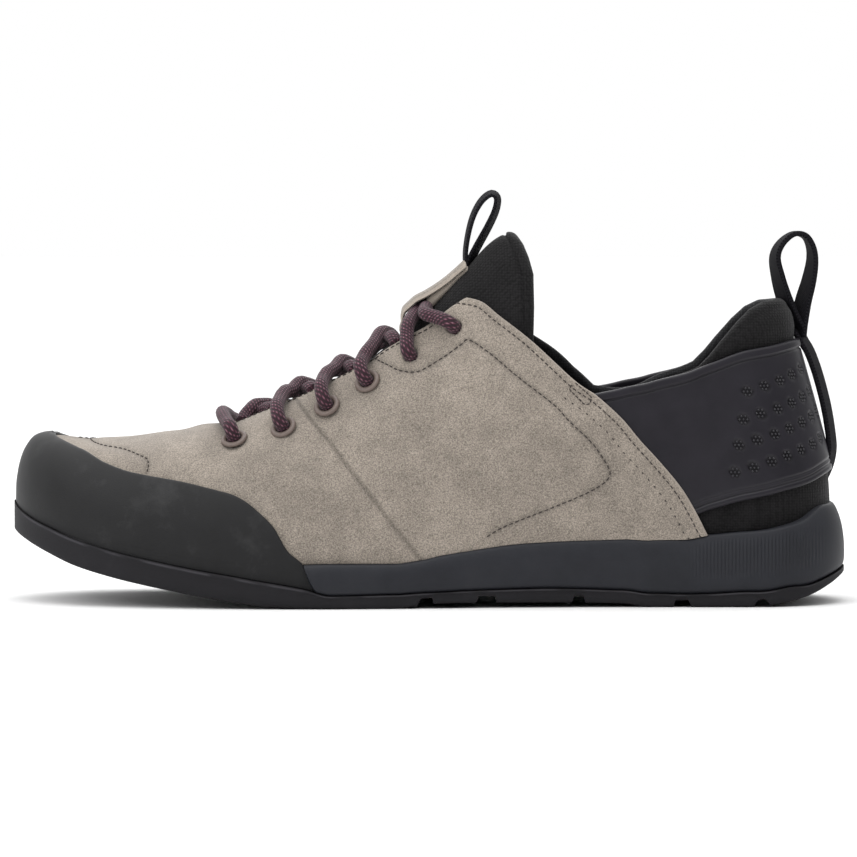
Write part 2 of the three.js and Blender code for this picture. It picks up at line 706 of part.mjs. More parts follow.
// A round cord solid through points
function cord(points) {
    const circle = new THREE.Shape().absarc(0, 0, laceDiameter / 2, 0, 2 * Math.PI);
    const curve = new THREE.CatmullRomCurve3(points, false, 'centripetal');
    return toSolid(new THREE.ExtrudeGeometry(circle, {
        extrudePath: curve, steps: points.length, curveSegments: 4, bevelEnabled: false,
    }));
}

const laceRadius = laceDiameter / 2;
const laceOverEyelet = suedeThickness + 2 * gap + eyeletFlangeThickness + 3 * gap + laceRadius;
const laceOverSuede = suedeThickness + laceRadius + 2 * gap;
const laceOverTongue = -upperWall - gap + laceRadius + gap;

// One strand of a crossing, as stops from one row towards the next. share: how far towards the next row.
// across: sideways, where 1 is the throat's edge here and 2 the hole's line. lift: above the last's form.
const strandOverEdge = table(['share', 'across', 'lift'], [
    [0.00, 1.60, laceOverEyelet + 4 * gap], [0.05, 1.40, laceOverSuede + 2 * gap],
    [0.12, 0.95, laceOverSuede],
    [0.24, 0.50, laceOverTongue + 5 * gap], [0.36, 0.00, laceOverTongue + 2 * gap],
    [0.50, -0.45, laceOverTongue + gap], [0.60, -0.75, laceOverTongue + gap],
]);
const strandInThroat = table(['share', 'across', 'lift'], [
    [0.20, 0.62, laceOverTongue + gap], [0.32, 0.35, laceOverTongue + 4 * gap],
    [0.44, 0.00, laceOverTongue + 5 * gap], [0.56, -0.35, laceOverTongue + 4 * gap],
    [0.68, -0.62, laceOverTongue + gap],
]);
const strandUnderKeeper = table(['share', 'across', 'lift'], [
    [0.00, 1.90, laceOverSuede + gap], [0.03, 1.40, laceOverSuede + gap], [0.06, 0.92, laceOverSuede],
    [0.15, 0.45, laceOverTongue + gap], [0.25, 0.00, laceOverTongue + gap],
    [0.35, -0.45, laceOverTongue + gap], [0.46, -0.92, laceOverSuede], [0.75, -1.45, laceOverSuede + gap],
    [0.96, -1.90, laceOverSuede + gap],
]);

function strand(stops, row, next, side) {
    return cord(stops.map(({ share, across, lift }) => {
        const along = THREE.MathUtils.lerp(row.along, next.along, share);
        const edge = throatHalf(along);
        const hole = THREE.MathUtils.lerp(row.out, next.out, share) * ballWidth;
        const reach = Math.abs(across) <= 1
            ? Math.abs(across) * edge
            : THREE.MathUtils.lerp(edge, hole, Math.abs(across) - 1);
        return onForm(along, side * Math.sign(across) * reach, lift);
    }));
}

function makeLaceCross(index) {
    const kinds = { 0: strandInThroat, [laceRows.length - 2]: strandUnderKeeper };
    const stops = kinds[index] ?? strandOverEdge;
    const row = laceRows[index];
    const next = laceRows[index + 1];
    return strand(stops, row, next, 1).add(strand(stops, row, next, -1));
}

// The bar across the foot of the throat, bowed a little towards the toe
const barStops = [0.95, 0.72, 0.4, 0, -0.4, -0.72, -0.95];
const barBow = 0.014;

function makeLaceBar() {
    const row = laceRows[0];
    const reach = row.out * ballWidth;
    return cord(barStops.map((share) => {
        const along = row.along + barBow * (1 - share * share);
        const lift = Math.abs(share) === barStops[0] ? laceOverEyelet + gap : laceOverSuede + gap;
        return onForm(along, share * reach, lift);
    }));
}

// Colours and finishes, from the photo
const finish = (color, roughness) => new THREE.MeshStandardMaterial({ color, roughness, metalness: 0 });
const materials = {
    suede: finish('#a3998e', 0.95),
    rubber: finish('#3a3a3a', 0.7),
    outsoleRubber: finish('#383736', 0.75),
    foam: finish('#37383d', 0.65),
    strap: finish('#37363b', 0.5),
    mesh: finish('#2d2b2c', 0.95),
    footbed: finish('#262628', 0.9),
    webbing: finish('#1f1e22', 0.8),
    lace: finish('#4a2f38', 0.85),
    eyelet: finish('#7c7069', 0.5),
};

const group = new THREE.Group();

function add(name, solid, material) {
    const { vertProperties, triVerts } = solid.getMesh();
    const geometry = new THREE.BufferGeometry();
    geometry.setAttribute('position', new THREE.BufferAttribute(new Float32Array(vertProperties), 3));
    geometry.setIndex(new THREE.BufferAttribute(new Uint32Array(triVerts), 1));
    const mesh = new THREE.Mesh(geometry, material);
    mesh.name = name;
    group.add(mesh);
}

add('upper', makeUpper(), materials.suede);
add('toe_rand', makeToeRand(), materials.rubber);
add('heel_strap', makeHeelStrap(), materials.strap);
add('midsole', makeMidsole(), materials.foam);
add('outsole', makeOutsole(), materials.outsoleRubber);
add('insole', makeInsole(), materials.footbed);
add('tongue', makeTongue(), materials.mesh);
add('tongue_keeper', makeTongueKeeper(), materials.suede);
add('tongue_loop', makeTongueLoop(), materials.webbing);
add('heel_pull', makeHeelPull(), materials.webbing);

laceRows.filter((row) => row.ringed).forEach((row, index) => {
    add(`eyelet_outer_${index + 1}`, makeEyelet(row, 1), materials.eyelet);
    add(`eyelet_inner_${index + 1}`, makeEyelet(row, -1), materials.eyelet);
});

add('lace_bar', makeLaceBar(), materials.lace);
for (let index = 0; index + 1 < laceRows.length; index += 1) {
    add(`lace_cross_${index + 1}`, makeLaceCross(index), materials.lace);
}

// The shoe stands on the floor with its box centred on the origin
const box = new THREE.Box3().setFromObject(group);
const middle = box.getCenter(new THREE.Vector3());
group.position.set(-middle.x, -middle.y, -box.min.z);
group.updateMatrixWorld(true);

export default group;
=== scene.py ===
"""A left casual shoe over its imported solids: suede, rubber rand, strapped heel, foam and rubber sole."""

import math

import bpy
import numpy as np
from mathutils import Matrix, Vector


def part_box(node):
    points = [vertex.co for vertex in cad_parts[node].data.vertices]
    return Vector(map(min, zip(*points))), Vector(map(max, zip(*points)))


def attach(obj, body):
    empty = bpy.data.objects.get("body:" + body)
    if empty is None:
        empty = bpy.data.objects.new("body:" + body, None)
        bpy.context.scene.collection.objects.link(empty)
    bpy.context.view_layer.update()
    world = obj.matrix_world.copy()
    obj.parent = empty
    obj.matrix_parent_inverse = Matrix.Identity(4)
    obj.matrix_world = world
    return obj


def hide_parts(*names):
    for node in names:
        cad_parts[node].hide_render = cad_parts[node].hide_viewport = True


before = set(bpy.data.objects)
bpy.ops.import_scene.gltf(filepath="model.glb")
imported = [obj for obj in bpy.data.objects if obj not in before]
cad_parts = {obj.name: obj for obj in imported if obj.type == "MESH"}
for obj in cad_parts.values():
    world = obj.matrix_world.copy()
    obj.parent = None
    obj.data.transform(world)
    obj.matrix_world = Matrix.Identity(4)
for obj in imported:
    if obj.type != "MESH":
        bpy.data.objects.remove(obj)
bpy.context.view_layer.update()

bl_info = {
    "name": "Casual shoe",
    "version": (1, 0, 0),
    "blender": (4, 5, 0),
    "location": "View3D > Sidebar > Shoe",
    "description": "Dresses the solids of a left casual shoe with its finished pieces",
    "category": "Object",
}

# Millimetres are the script's own unit, and the scene is in metres
MM = 0.001

# The form's driving sizes, the same as the solids'
SHOE_LENGTH = 280.0
BALL_WIDTH = 88.0
INSTEP_HEIGHT = 77.0
HEEL_HEIGHT = 75.0
TOE_SPRING = 24.3
OUTSOLE_EDGE = 8.5
HEEL_MIDSOLE = 18.0
WALL = 1.6
SUEDE = 1.2
RAND = 1.2
STRAP = 1.2
TONGUE_PAD = 4.5
KEEPER = 1.6
INSOLE = 4.0
LACE_SOLID = 4.4
EYELET_BORE = 5.0
EYELET_FLANGE = 9.0
EYELET_RING = 0.7
WEBBING_WIDTH = 9.0
WEBBING_THICKNESS = 1.8
LOOP_WIDTH = 7.0
LOOP_THICKNESS = 1.2
TREAD_DEPTH = 2.4
GAP = 0.3
HEEL_INSET = 4.3
FORM_START = -SHOE_LENGTH / 2 + HEEL_INSET
FORM_LENGTH = SHOE_LENGTH - HEEL_INSET - (SUEDE + GAP + RAND + 0.5)

# Shares of the length where the plan's round ends start, and the powers of their curves
TOE_ROUND = 0.78
TOE_POWER = 2.3
HEEL_ROUND = 0.115
HEEL_POWER = 2.2

# The heel's lean: its slope, its length as a share of the form, and the heights where it starts and blends
LEAN_SLOPE = 0.29
LEAN_REACH = 0.3
LEAN_START = 0.15 * HEEL_HEIGHT
LEAN_BLEND = 0.13 * HEEL_HEIGHT
# How far the sides draw in at the sole, as a share, and over what height
TUCK_SHARE = 0.03
TUCK_HEIGHT = 0.08 * INSTEP_HEIGHT

# Shares of the form's length: the throat's front end, and the rand's rear end at the foot line
THROAT_FRONT = 0.757
RAND_REAR = 0.651
# Further than any edge, for a place where no edge is near
FAR = 99.0

# Textures: from one rib of the foam to the next, one pick of the lace's braid, and its strands around
RIB_PITCH = 1.2
BRAID_PICK = 1.3
BRAID_TURNS = 14


def table(columns, rows):
    """Rows with named columns, as one array for each name."""
    return dict(zip(columns.split(), np.array(rows, float).T))


def reader(sections, column, key="along"):
    """Smooth reading of a column that never overshoots, so that flat stretches stay flat."""
    x, y = sections[key], sections[column]
    secant = np.diff(y) / np.diff(x)
    slope = np.zeros_like(y)
    slope[0], slope[-1] = secant[0], secant[-1]
    before, after = secant[:-1], secant[1:]
    same = before * after > 0
    slope[1:-1][same] = 2 / (1 / before[same] + 1 / after[same])

    def read(at):
        t = np.clip(at, x[0], x[-1])
        i = np.clip(np.searchsorted(x, t, side="right") - 1, 0, len(x) - 2)
        span = x[i + 1] - x[i]
        u = (t - x[i]) / span
        rise = u * u * (3 - 2 * u)
        start = u * (1 - u) ** 2 * span
        end = u * u * (u - 1) * span
        return y[i] + (y[i + 1] - y[i]) * rise + slope[i] * start + slope[i + 1] * end

    return read


# Sole sections: along is a share of the shoe's length from the heel, spring and rubber are shares of the
# toe spring and the outsole's edge, foam of the heel's midsole, outer and inner of the ball's width
SOLE = table("along spring rubber foam outer inner", [
    [0.000, 0.430, 0.18, 1.19, 0.400, 0.385],
    [0.020, 0.290, 0.30, 1.29, 0.402, 0.386],
    [0.048, 0.140, 0.42, 1.21, 0.405, 0.388],
    [0.075, 0.060, 0.58, 1.14, 0.408, 0.388],
    [0.100, 0.015, 0.57, 1.14, 0.410, 0.388],
    [0.120, 0.000, 0.60, 1.12, 0.410, 0.386],
    [0.165, 0.000, 0.52, 1.10, 0.408, 0.378],
    [0.195, 0.000, 0.50, 1.03, 0.405, 0.370],
    [0.236, 0.000, 0.53, 0.99, 0.402, 0.358],
    [0.268, 0.050, 0.51, 0.95, 0.402, 0.350],
    [0.360, 0.070, 0.54, 0.86, 0.412, 0.340],
    [0.396, 0.070, 0.52, 0.83, 0.420, 0.342],
    [0.461, 0.070, 0.46, 0.72, 0.445, 0.360],
    [0.484, 0.066, 0.43, 0.68, 0.457, 0.372],
    [0.511, 0.035, 0.49, 0.60, 0.472, 0.392],
    [0.540, 0.000, 0.54, 0.57, 0.490, 0.418],
    [0.615, 0.000, 0.50, 0.59, 0.525, 0.480],
    [0.648, 0.010, 0.74, 0.45, 0.536, 0.502],
    [0.698, 0.040, 0.94, 0.29, 0.543, 0.528],
    [0.732, 0.090, 1.00, 0.23, 0.542, 0.540],
    [0.762, 0.144, 1.01, 0.20, 0.538, 0.545],
    [0.798, 0.222, 1.01, 0.18, 0.528, 0.545],
    [0.838, 0.313, 1.02, 0.17, 0.520, 0.538],
    [0.863, 0.374, 1.02, 0.17, 0.516, 0.532],
    [0.920, 0.550, 1.04, 0.17, 0.510, 0.525],
    [0.955, 0.720, 1.00, 0.17, 0.508, 0.520],
    [0.975, 0.830, 0.97, 0.17, 0.506, 0.516],
    [0.990, 0.925, 0.98, 0.17, 0.505, 0.514],
    [1.000, 1.000, 1.06, 0.17, 0.505, 0.514],
])

# Upper sections: axis, outer and inner are shares of the ball's width, crown of the local height, lean is
# how much the sides close in towards the top, and square how boxy the section is
UPPER = table("along axis outer inner crown lean square", [
    [0.000, 0.000, 0.352, 0.342, 1.170, 0.08, 2.2],
    [0.050, 0.000, 0.362, 0.350, 1.300, 0.10, 2.2],
    [0.110, 0.000, 0.372, 0.356, 1.380, 0.12, 2.2],
    [0.170, 0.002, 0.380, 0.358, 1.440, 0.14, 2.2],
    [0.235, 0.006, 0.382, 0.350, 1.445, 0.15, 2.2],
    [0.290, 0.010, 0.384, 0.342, 1.415, 0.16, 2.2],
    [0.371, 0.016, 0.395, 0.332, 1.365, 0.20, 2.2],
    [0.400, 0.017, 0.402, 0.334, 1.335, 0.22, 2.2],
    [0.433, 0.018, 0.411, 0.340, 1.285, 0.24, 2.2],
    [0.462, 0.018, 0.420, 0.350, 1.215, 0.26, 2.3],
    [0.495, 0.015, 0.433, 0.366, 1.100, 0.28, 2.4],
    [0.538, 0.010, 0.450, 0.390, 0.985, 0.28, 2.5],
    [0.569, 0.006, 0.464, 0.412, 0.897, 0.26, 2.4],
    [0.600, 0.001, 0.476, 0.434, 0.825, 0.24, 2.3],
    [0.663, -0.010, 0.494, 0.472, 0.712, 0.17, 2.15],
    [0.736, -0.025, 0.500, 0.496, 0.588, 0.08, 2.05],
    [0.804, -0.041, 0.490, 0.498, 0.508, 0.02, 2.2],
    [0.878, -0.062, 0.482, 0.488, 0.420, 0.00, 2.5],
    [0.930, -0.077, 0.478, 0.478, 0.362, 0.00, 2.6],
    [0.953, -0.084, 0.477, 0.477, 0.341, 0.00, 2.6],
    [0.968, -0.088, 0.476, 0.476, 0.320, 0.00, 2.5],
    [0.980, -0.091, 0.475, 0.475, 0.292, 0.00, 2.4],
    [0.990, -0.094, 0.474, 0.474, 0.230, 0.00, 2.3],
    [0.996, -0.095, 0.473, 0.473, 0.160, 0.00, 2.2],
    [1.000, -0.096, 0.472, 0.472, 0.078, 0.00, 2.2],
])

sole = {name: reader(SOLE, name) for name in ("spring", "rubber", "foam", "outer", "inner")}
upper = {name: reader(UPPER, name) for name in ("axis", "outer", "inner", "crown", "lean", "square")}


def smoothstep(value, low, high):
    """A smooth rise from 0 at low to 1 at high."""
    t = np.clip((value - low) / (high - low), 0, 1)
    return t * t * (3 - 2 * t)


def end_round(along):
    """Round ends of the plan outline, as quarters of a superellipse."""
    toe = np.clip((along - TOE_ROUND) / (1 - TOE_ROUND), 0, 1)
    heel = np.clip((HEEL_ROUND - along) / HEEL_ROUND, 0, 1)
    at_toe = (1 - toe ** TOE_POWER) ** (1 / TOE_POWER)
    at_heel = (1 - heel ** HEEL_POWER) ** (1 / HEEL_POWER)
    return np.minimum(at_toe, at_heel)


def sole_x(along):
    return (along - 0.5) * SHOE_LENGTH


def tread_z(x):
    """Height of the sole's underside, before the tread is cut."""
    return TOE_SPRING * sole["spring"](x / SHOE_LENGTH + 0.5)


def outsole_top(x):
    return tread_z(x) + OUTSOLE_EDGE * sole["rubber"](x / SHOE_LENGTH + 0.5)


def foot_line(x):
    """Height at which the upper meets the sole."""
    return outsole_top(x) + HEEL_MIDSOLE * sole["foam"](x / SHOE_LENGTH + 0.5)


def form_x(along):
    return FORM_START + along * FORM_LENGTH


def form_along(x):
    return (x - FORM_START) / FORM_LENGTH


def axis_y(x):
    return BALL_WIDTH * upper["axis"](form_along(x))


def local_height(along):
    """The height that a section's shares are taken of, blended from heel to instep."""
    return HEEL_HEIGHT + (INSTEP_HEIGHT - HEEL_HEIGHT) * smoothstep(along, 0.1, 0.5)


def heel_lean(along, height):
    """How far the back of the heel leans forward above the counter."""
    rise = height - LEAN_START
    fade = np.maximum(0, 1 - along / LEAN_REACH) ** 2
    return LEAN_SLOPE * fade * (rise + np.hypot(rise, LEAN_BLEND)) / 2


def form_point(along, angle):
    """The last's surface. Angle 0 is the foot line of the outer side, pi that of the inner side."""
    along, angle = np.broadcast_arrays(np.asarray(along, float), np.asarray(angle, float))
    height = local_height(along) * upper["crown"](along)
    power = upper["square"](along)
    from_sole = np.minimum(angle, np.pi - angle)
    outer = angle < np.pi / 2
    across = np.maximum(0, np.cos(from_sole))
    up = np.maximum(0, np.sin(from_sole))
    radius = (across ** power + up ** power) ** (-1 / power)
    share = radius * up
    side = np.where(outer, upper["outer"](along), upper["inner"](along))
    tuck = 1 - TUCK_SHARE * np.exp(-share * height / TUCK_HEIGHT)
    half = BALL_WIDTH * side * end_round(along) * (1 - upper["lean"](along) * share) * tuck
    x = form_x(along)
    return np.stack([
        x + heel_lean(along, share * height),
        BALL_WIDTH * upper["axis"](along) + np.where(outer, 1, -1) * half * radius * across,
        foot_line(x) + share * height,
    ], -1)


def form_normal(along, angle):
    """Outward direction of the last's surface, level at the foot line."""
    along, angle = np.broadcast_arrays(np.asarray(along, float), np.asarray(angle, float))
    step = 2e-4
    ahead = form_point(np.minimum(1 - 1e-6, along + step), angle)
    behind = form_point(np.maximum(1e-6, along - step), angle)
    over = form_point(along, np.minimum(np.pi, angle + step))
    under = form_point(along, np.maximum(0, angle - step))
    normal = np.cross(over - under, ahead - behind)
    foot = (angle <= 1e-6) | (angle >= np.pi - 1e-6)
    normal[..., 2] = np.where(foot, 0, normal[..., 2])
    normal /= np.maximum(np.linalg.norm(normal, axis=-1, keepdims=True), 1e-12)
    normal[along <= 0] = (-1, 0, 0)
    normal[along >= 1] = (1, 0, 0)
    return normal


def skin(along, angle, out):
    """A point of the form moved out from its surface, and kept on the foot line if it stands there."""
    point = form_point(along, angle)
    point = point + form_normal(along, angle) * np.asarray(out, float)[..., None]
    foot = (np.asarray(angle) <= 1e-6) | (np.asarray(angle) >= np.pi - 1e-6)
    point[..., 2] = np.where(foot, foot_line(point[..., 0]), point[..., 2])
    return point


def angle_of(station, share, side):
    """The section angle at a height given as a share of the crown's, on the outer (1) or inner (-1) side."""
    power = upper["square"](station)
    share = np.clip(share, 0, 1)
    across = (1 - share ** power) ** (1 / power)
    angle = np.arctan2(share, across)
    return angle if side > 0 else np.pi - angle


def side_angle(station, share, outer):
    """The section angle at a share of the crown's height, on the outer side where outer is true."""
    return np.where(outer, angle_of(station, share, 1), angle_of(station, share, -1))


def from_side(x, z, side):
    """Station and angle on the form of a point of the side view, given in millimetres."""
    x, z = np.asarray(x, float), np.asarray(z, float)
    station = np.clip(form_along(x), 0, 1)
    for _ in range(16):
        rise = z - foot_line(form_x(station))
        station = np.clip(0.5 * station + 0.5 * form_along(x - heel_lean(station, rise)), 0, 1)
    rise = z - foot_line(form_x(station))
    share = rise / (local_height(station) * upper["crown"](station))
    return station, angle_of(station, share, side)


def side_mm(points):
    """Side view points, given along the form and up in shares of the local height, in millimetres."""
    along, up = np.array(points, float).T
    x = form_x(along)
    return np.stack([x, foot_line(x) + up * local_height(along)], -1)


def angle_at(along, sideways):
    """The angle at which the section reaches a sideways place from the axis."""
    along, sideways = np.broadcast_arrays(np.asarray(along, float), np.asarray(sideways, float))
    low = np.full(along.shape, 0.02 * np.pi)
    high = np.full(along.shape, 0.98 * np.pi)
    for _ in range(34):
        middle = (low + high) / 2
        beyond = form_point(along, middle)[..., 1] - BALL_WIDTH * upper["axis"](along) > sideways
        low = np.where(beyond, middle, low)
        high = np.where(beyond, high, middle)
    return (low + high) / 2


def sole_half(along, side):
    """Half width of the sole from its axis, on the outer (1) or inner (-1) side."""
    return BALL_WIDTH * end_round(along) * sole["outer" if side > 0 else "inner"](along)


def sideways_shift():
    """From the form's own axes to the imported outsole's, which is centred on the frame."""
    along = np.linspace(0, 1, 801)
    outermost = np.max(axis_y(sole_x(along)) + sole_half(along, 1))
    innermost = np.min(axis_y(sole_x(along)) - sole_half(along, -1))
    return sum(corner[1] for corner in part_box("outsole")) / 2 / MM - (outermost + innermost) / 2


SHIFT_Y = sideways_shift()


def resample(points, count=None, spacing=None, smooth=True):
    """Points at equal spacing along a line, through a smooth curve when smooth."""
    points = np.asarray(points, float)
    if smooth and len(points) > 2:
        knots = np.concatenate([[2 * points[0] - points[1]], points, [2 * points[-1] - points[-2]]])
        u = np.linspace(0, 1, 12, endpoint=False)[:, None]
        pieces = []
        for i in range(1, len(knots) - 2):
            a, b, c, d = knots[i - 1:i + 3]
            cubic = 3 * (b - c) + d - a
            pieces.append(b + 0.5 * u * (c - a + u * (2 * a - 5 * b + 4 * c - d + u * cubic)))
        points = np.concatenate([*pieces, points[-1:]])
    run = np.concatenate([[0], np.cumsum(np.linalg.norm(np.diff(points, axis=0), axis=1))])
    if count is None:
        count = max(2, round(run[-1] / spacing) + 1)
    at = np.linspace(0, run[-1], count)
    return np.stack([np.interp(at, run, column) for column in points.T], -1)


def distance_to(points, line):
    """Distance from each point to a line of points, all in the side view."""
    start, end = line[:-1], line[1:]
    span = end - start
    best = np.full(points.shape[:-1], 1e9)
    for a, d in zip(start, span):
        rel = points - a
        t = np.clip((rel @ d) / max(d @ d, 1e-9), 0, 1)
        best = np.minimum(best, np.linalg.norm(rel - t[..., None] * d, axis=-1))
    return best


def fine_ends(count, ends, near=(0.0, 0.12, 0.3, 0.6)):
    """Shares from 0 to 1 with extra ones close to both ends. ends: one millimetre as a share."""
    near = np.array(near) * ends
    middle = np.linspace(near[-1], 1 - near[-1], count)
    return np.concatenate([near[:-1], middle, (1 - near[:-1])[::-1]])


# Meshes
def make_mesh(name, points, faces, materials, face_materials=None, attributes=None, uv=None):
    """A smooth object from points in millimetres of the solids' own axes."""
    mesh = bpy.data.meshes.new(name)
    placed = (np.asarray(points).reshape(-1, 3) + (0, SHIFT_Y, 0)) * MM
    mesh.from_pydata(placed.tolist(), [], [list(face) for face in faces])
    for material in materials:
        mesh.materials.append(material)
    if face_materials is not None:
        mesh.polygons.foreach_set("material_index", np.asarray(face_materials, np.int32))
    mesh.polygons.foreach_set("use_smooth", np.ones(len(mesh.polygons), bool))
    for label, values in (attributes or {}).items():
        layer = mesh.attributes.new(label, "FLOAT", "POINT")
        layer.data.foreach_set("value", np.asarray(values, np.float32).ravel())
    if uv is not None:
        corners = np.zeros(len(mesh.loops), np.int32)
        mesh.loops.foreach_get("vertex_index", corners)
        layer = mesh.uv_layers.new(name="Run")
        layer.data.foreach_set("uv", np.asarray(uv, np.float32).reshape(-1, 2)[corners].ravel())
    mesh.update()
    made = bpy.data.objects.new(name, mesh)
    bpy.context.scene.collection.objects.link(made)
    return made


def grid_faces(rows, columns, first=0, closed=False):
    """Corner places of the four-sided faces of a grid of points, closed round its columns if asked."""
    i = np.arange(rows - 1)[:, None]
    j = np.arange(columns if closed else columns - 1)[None, :]
    a = first + i * columns + j
    b = first + i * columns + (j + 1) % columns
    return np.stack([a, b, b + columns, a + columns], -1).reshape(-1, 4)


def volume_of(points, faces):
    """Six times the volume of four-sided faces, for its sign."""
    p = points.reshape(-1, 3)
    a, b, c, d = (p[faces[:, k]] for k in range(4))
    return np.sum(a * np.cross(b, c)) + np.sum(a * np.cross(c, d))


def panel(name, outer, inner, materials, attributes=None, back=1):
    """A closed sheet between two grids of points. back is the place of its inside's material."""
    rows, columns = outer.shape[:2]
    count = rows * columns
    front_faces = grid_faces(rows, columns)
    back_faces = grid_faces(rows, columns, count)[:, ::-1]
    index = np.arange(count).reshape(rows, columns)
    border = np.concatenate([index[0, :-1], index[:-1, -1], index[-1, :0:-1], index[:0:-1, 0]])
    following = np.roll(border, -1)
    rim_faces = np.stack([following, border, border + count, following + count], -1)
    faces = np.concatenate([front_faces, rim_faces, back_faces])
    points = np.concatenate([outer.reshape(-1, 3), inner.reshape(-1, 3)])
    if volume_of(points, faces) < 0:
        faces = faces[:, ::-1]
    back = min(back, len(materials) - 1)
    places = np.repeat([0, 0, back], [len(front_faces), len(rim_faces), len(back_faces)])
    both = {key: np.tile(np.asarray(value).ravel(), 2) for key, value in (attributes or {}).items()}
    made = make_mesh(name, points, faces.tolist(), materials, places, both)
    smooth = np.ones(len(faces), bool)
    smooth[len(front_faces):-len(back_faces)] = False
    made.data.polygons.foreach_set("use_smooth", smooth)
    return made


def frames_along(path):
    """Tangent and two crosswise directions at each point of a path, turning no more than they must."""
    tangent = np.gradient(path, axis=0)
    tangent /= np.linalg.norm(tangent, axis=1, keepdims=True)
    first = np.zeros_like(tangent)
    guide = np.array([0.0, 0.0, 1.0])
    for i, t in enumerate(tangent):
        guide = guide - t * (guide @ t)
        guide /= max(np.linalg.norm(guide), 1e-9)
        first[i] = guide
    return tangent, first, np.cross(tangent, first)


def tube(path, radius, sides=14):
    """Points, faces and run coordinates of a round cord with round ends."""
    run = np.concatenate([[0], np.cumsum(np.linalg.norm(np.diff(path, axis=0), axis=1))])
    _, first, second = frames_along(path)
    radius = np.broadcast_to(np.asarray(radius, float), len(path)).copy()
    turn = 2 * np.pi * np.arange(sides + 1) / sides
    ring = first[:, None] * np.cos(turn)[None, :, None] + second[:, None] * np.sin(turn)[None, :, None]
    points = path[:, None] + ring * radius[:, None, None]
    uv = np.stack(np.broadcast_arrays(run[:, None], turn[None, :] / (2 * np.pi)), -1)
    faces = grid_faces(len(path), sides + 1).tolist()
    ends = [list(range(sides))[::-1], [(len(path) - 1) * (sides + 1) + k for k in range(sides)]]
    return points.reshape(-1, 3), faces + ends, uv.reshape(-1, 2)


def joined(name, parts, materials):
    """One object from several sets of points, faces and run coordinates."""
    points, faces, uvs = [], [], []
    first = 0
    for part_points, part_faces, part_uv in parts:
        points.append(part_points)
        faces.extend([[corner + first for corner in face] for face in part_faces])
        uvs.append(part_uv)
        first += len(part_points)
    return make_mesh(name, np.concatenate(points), faces, materials, uv=np.concatenate(uvs))


def dress(obj, slot, *nodes):
    """The piece rides on the shoe and stands for its solids, which it hides. The slot is not used."""
    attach(obj, "root")
    if nodes:
        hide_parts(*nodes)


# Materials
def linear(code):
    """A colour written as sRGB hex, as linear red, green, blue and full alpha."""
    parts = [int(code[i:i + 2], 16) / 255 for i in (1, 3, 5)]
    return (*[c / 12.92 if c <= 0.04045 else ((c + 0.055) / 1.055) ** 2.4 for c in parts], 1.0)


def per_mm(size):
    """Texture scale, in turns per metre, of a pattern whose features are size millimetres apart."""
    return 1 / (size * MM)


def node(tree, kind, inputs=None, stops=None, **settings):
    """Adds a node with its settings, its ramp's stops, and its inputs as values or links."""
    made = tree.nodes.new(kind)
    for key, value in settings.items():
        setattr(made, key, value)
    if stops:
        elements = made.color_ramp.elements
        while len(elements) < len(stops):
            elements.new(0.5)
        for element, (place, colour) in zip(elements, stops):
            element.position = place
            element.color = colour
    for key, value in (inputs or {}).items():
        if isinstance(value, bpy.types.NodeSocket):
            tree.links.new(value, made.inputs[key])
        else:
            made.inputs[key].default_value = value
    return made


def blank(name):
    """A material with only its output, and its tree."""
    material = bpy.data.materials.new(name)
    material.use_nodes = True
    material.node_tree.nodes.clear()
    return material, material.node_tree


def finish_material(tree, colour, roughness, bump, **constants):
    """Joins a colour, a roughness and a normal into the shader, with its constants by socket name."""
    inputs = {"Base Color": colour, "Roughness": roughness, "Normal": bump}
    shader = node(tree, "ShaderNodeBsdfPrincipled", inputs)
    for key, value in constants.items():
        shader.inputs[key.replace("_", " ")].default_value = value
    node(tree, "ShaderNodeOutputMaterial", {"Surface": shader.outputs[0]})


def grey(value):
    return (value, value, value, 1.0)


def scaled(colour, factor, lift=0.0):
    """A colour made darker or lighter by a factor, with the same lift in each channel."""
    return (*[min(1, c * factor + lift) for c in colour[:3]], 1.0)


def object_place(tree):
    return node(tree, "ShaderNodeTexCoord").outputs["Object"]


def noise(tree, place, size, detail=3.0, **inputs):
    """Soft noise whose features are size millimetres apart."""
    inputs = {"Vector": place, "Scale": per_mm(size), "Detail": detail, **inputs}
    return node(tree, "ShaderNodeTexNoise", inputs).outputs["Fac"]


def ramp(tree, value, *stops):
    return node(tree, "ShaderNodeValToRGB", {"Fac": value}, stops=stops).outputs[0]


def mixed(tree, share, first, second, **settings):
    inputs = {"Fac": share, "Color1": first, "Color2": second}
    return node(tree, "ShaderNodeMixRGB", inputs, **settings).outputs[0]


def multiplied(tree, colour, shade):
    return mixed(tree, 1.0, colour, shade, blend_type="MULTIPLY")


def maths(tree, operation, *values):
    return node(tree, "ShaderNodeMath", dict(enumerate(values)), operation=operation).outputs[0]


def sine(tree, value, factor):
    return maths(tree, "SINE", maths(tree, "MULTIPLY", value, factor))


def spread(tree, value, low=0.0, high=1.0, start=0.0, end=1.0):
    """A value between start and end, taken to one between low and high."""
    inputs = {"Value": value, "From Min": start, "From Max": end, "To Min": low, "To Max": high}
    return node(tree, "ShaderNodeMapRange", inputs).outputs[0]


def bumped(tree, height, strength, depth, under=None, **settings):
    """Relief of a depth in millimetres, on top of the relief under it."""
    inputs = {"Height": height, "Strength": strength, "Distance": depth * MM}
    if under is not None:
        inputs["Normal"] = under
    return node(tree, "ShaderNodeBump", inputs, **settings).outputs[0]


def painted(tree, name):
    """What a mesh carries at its points under a name."""
    return node(tree, "ShaderNodeAttribute", attribute_name=name).outputs["Fac"]


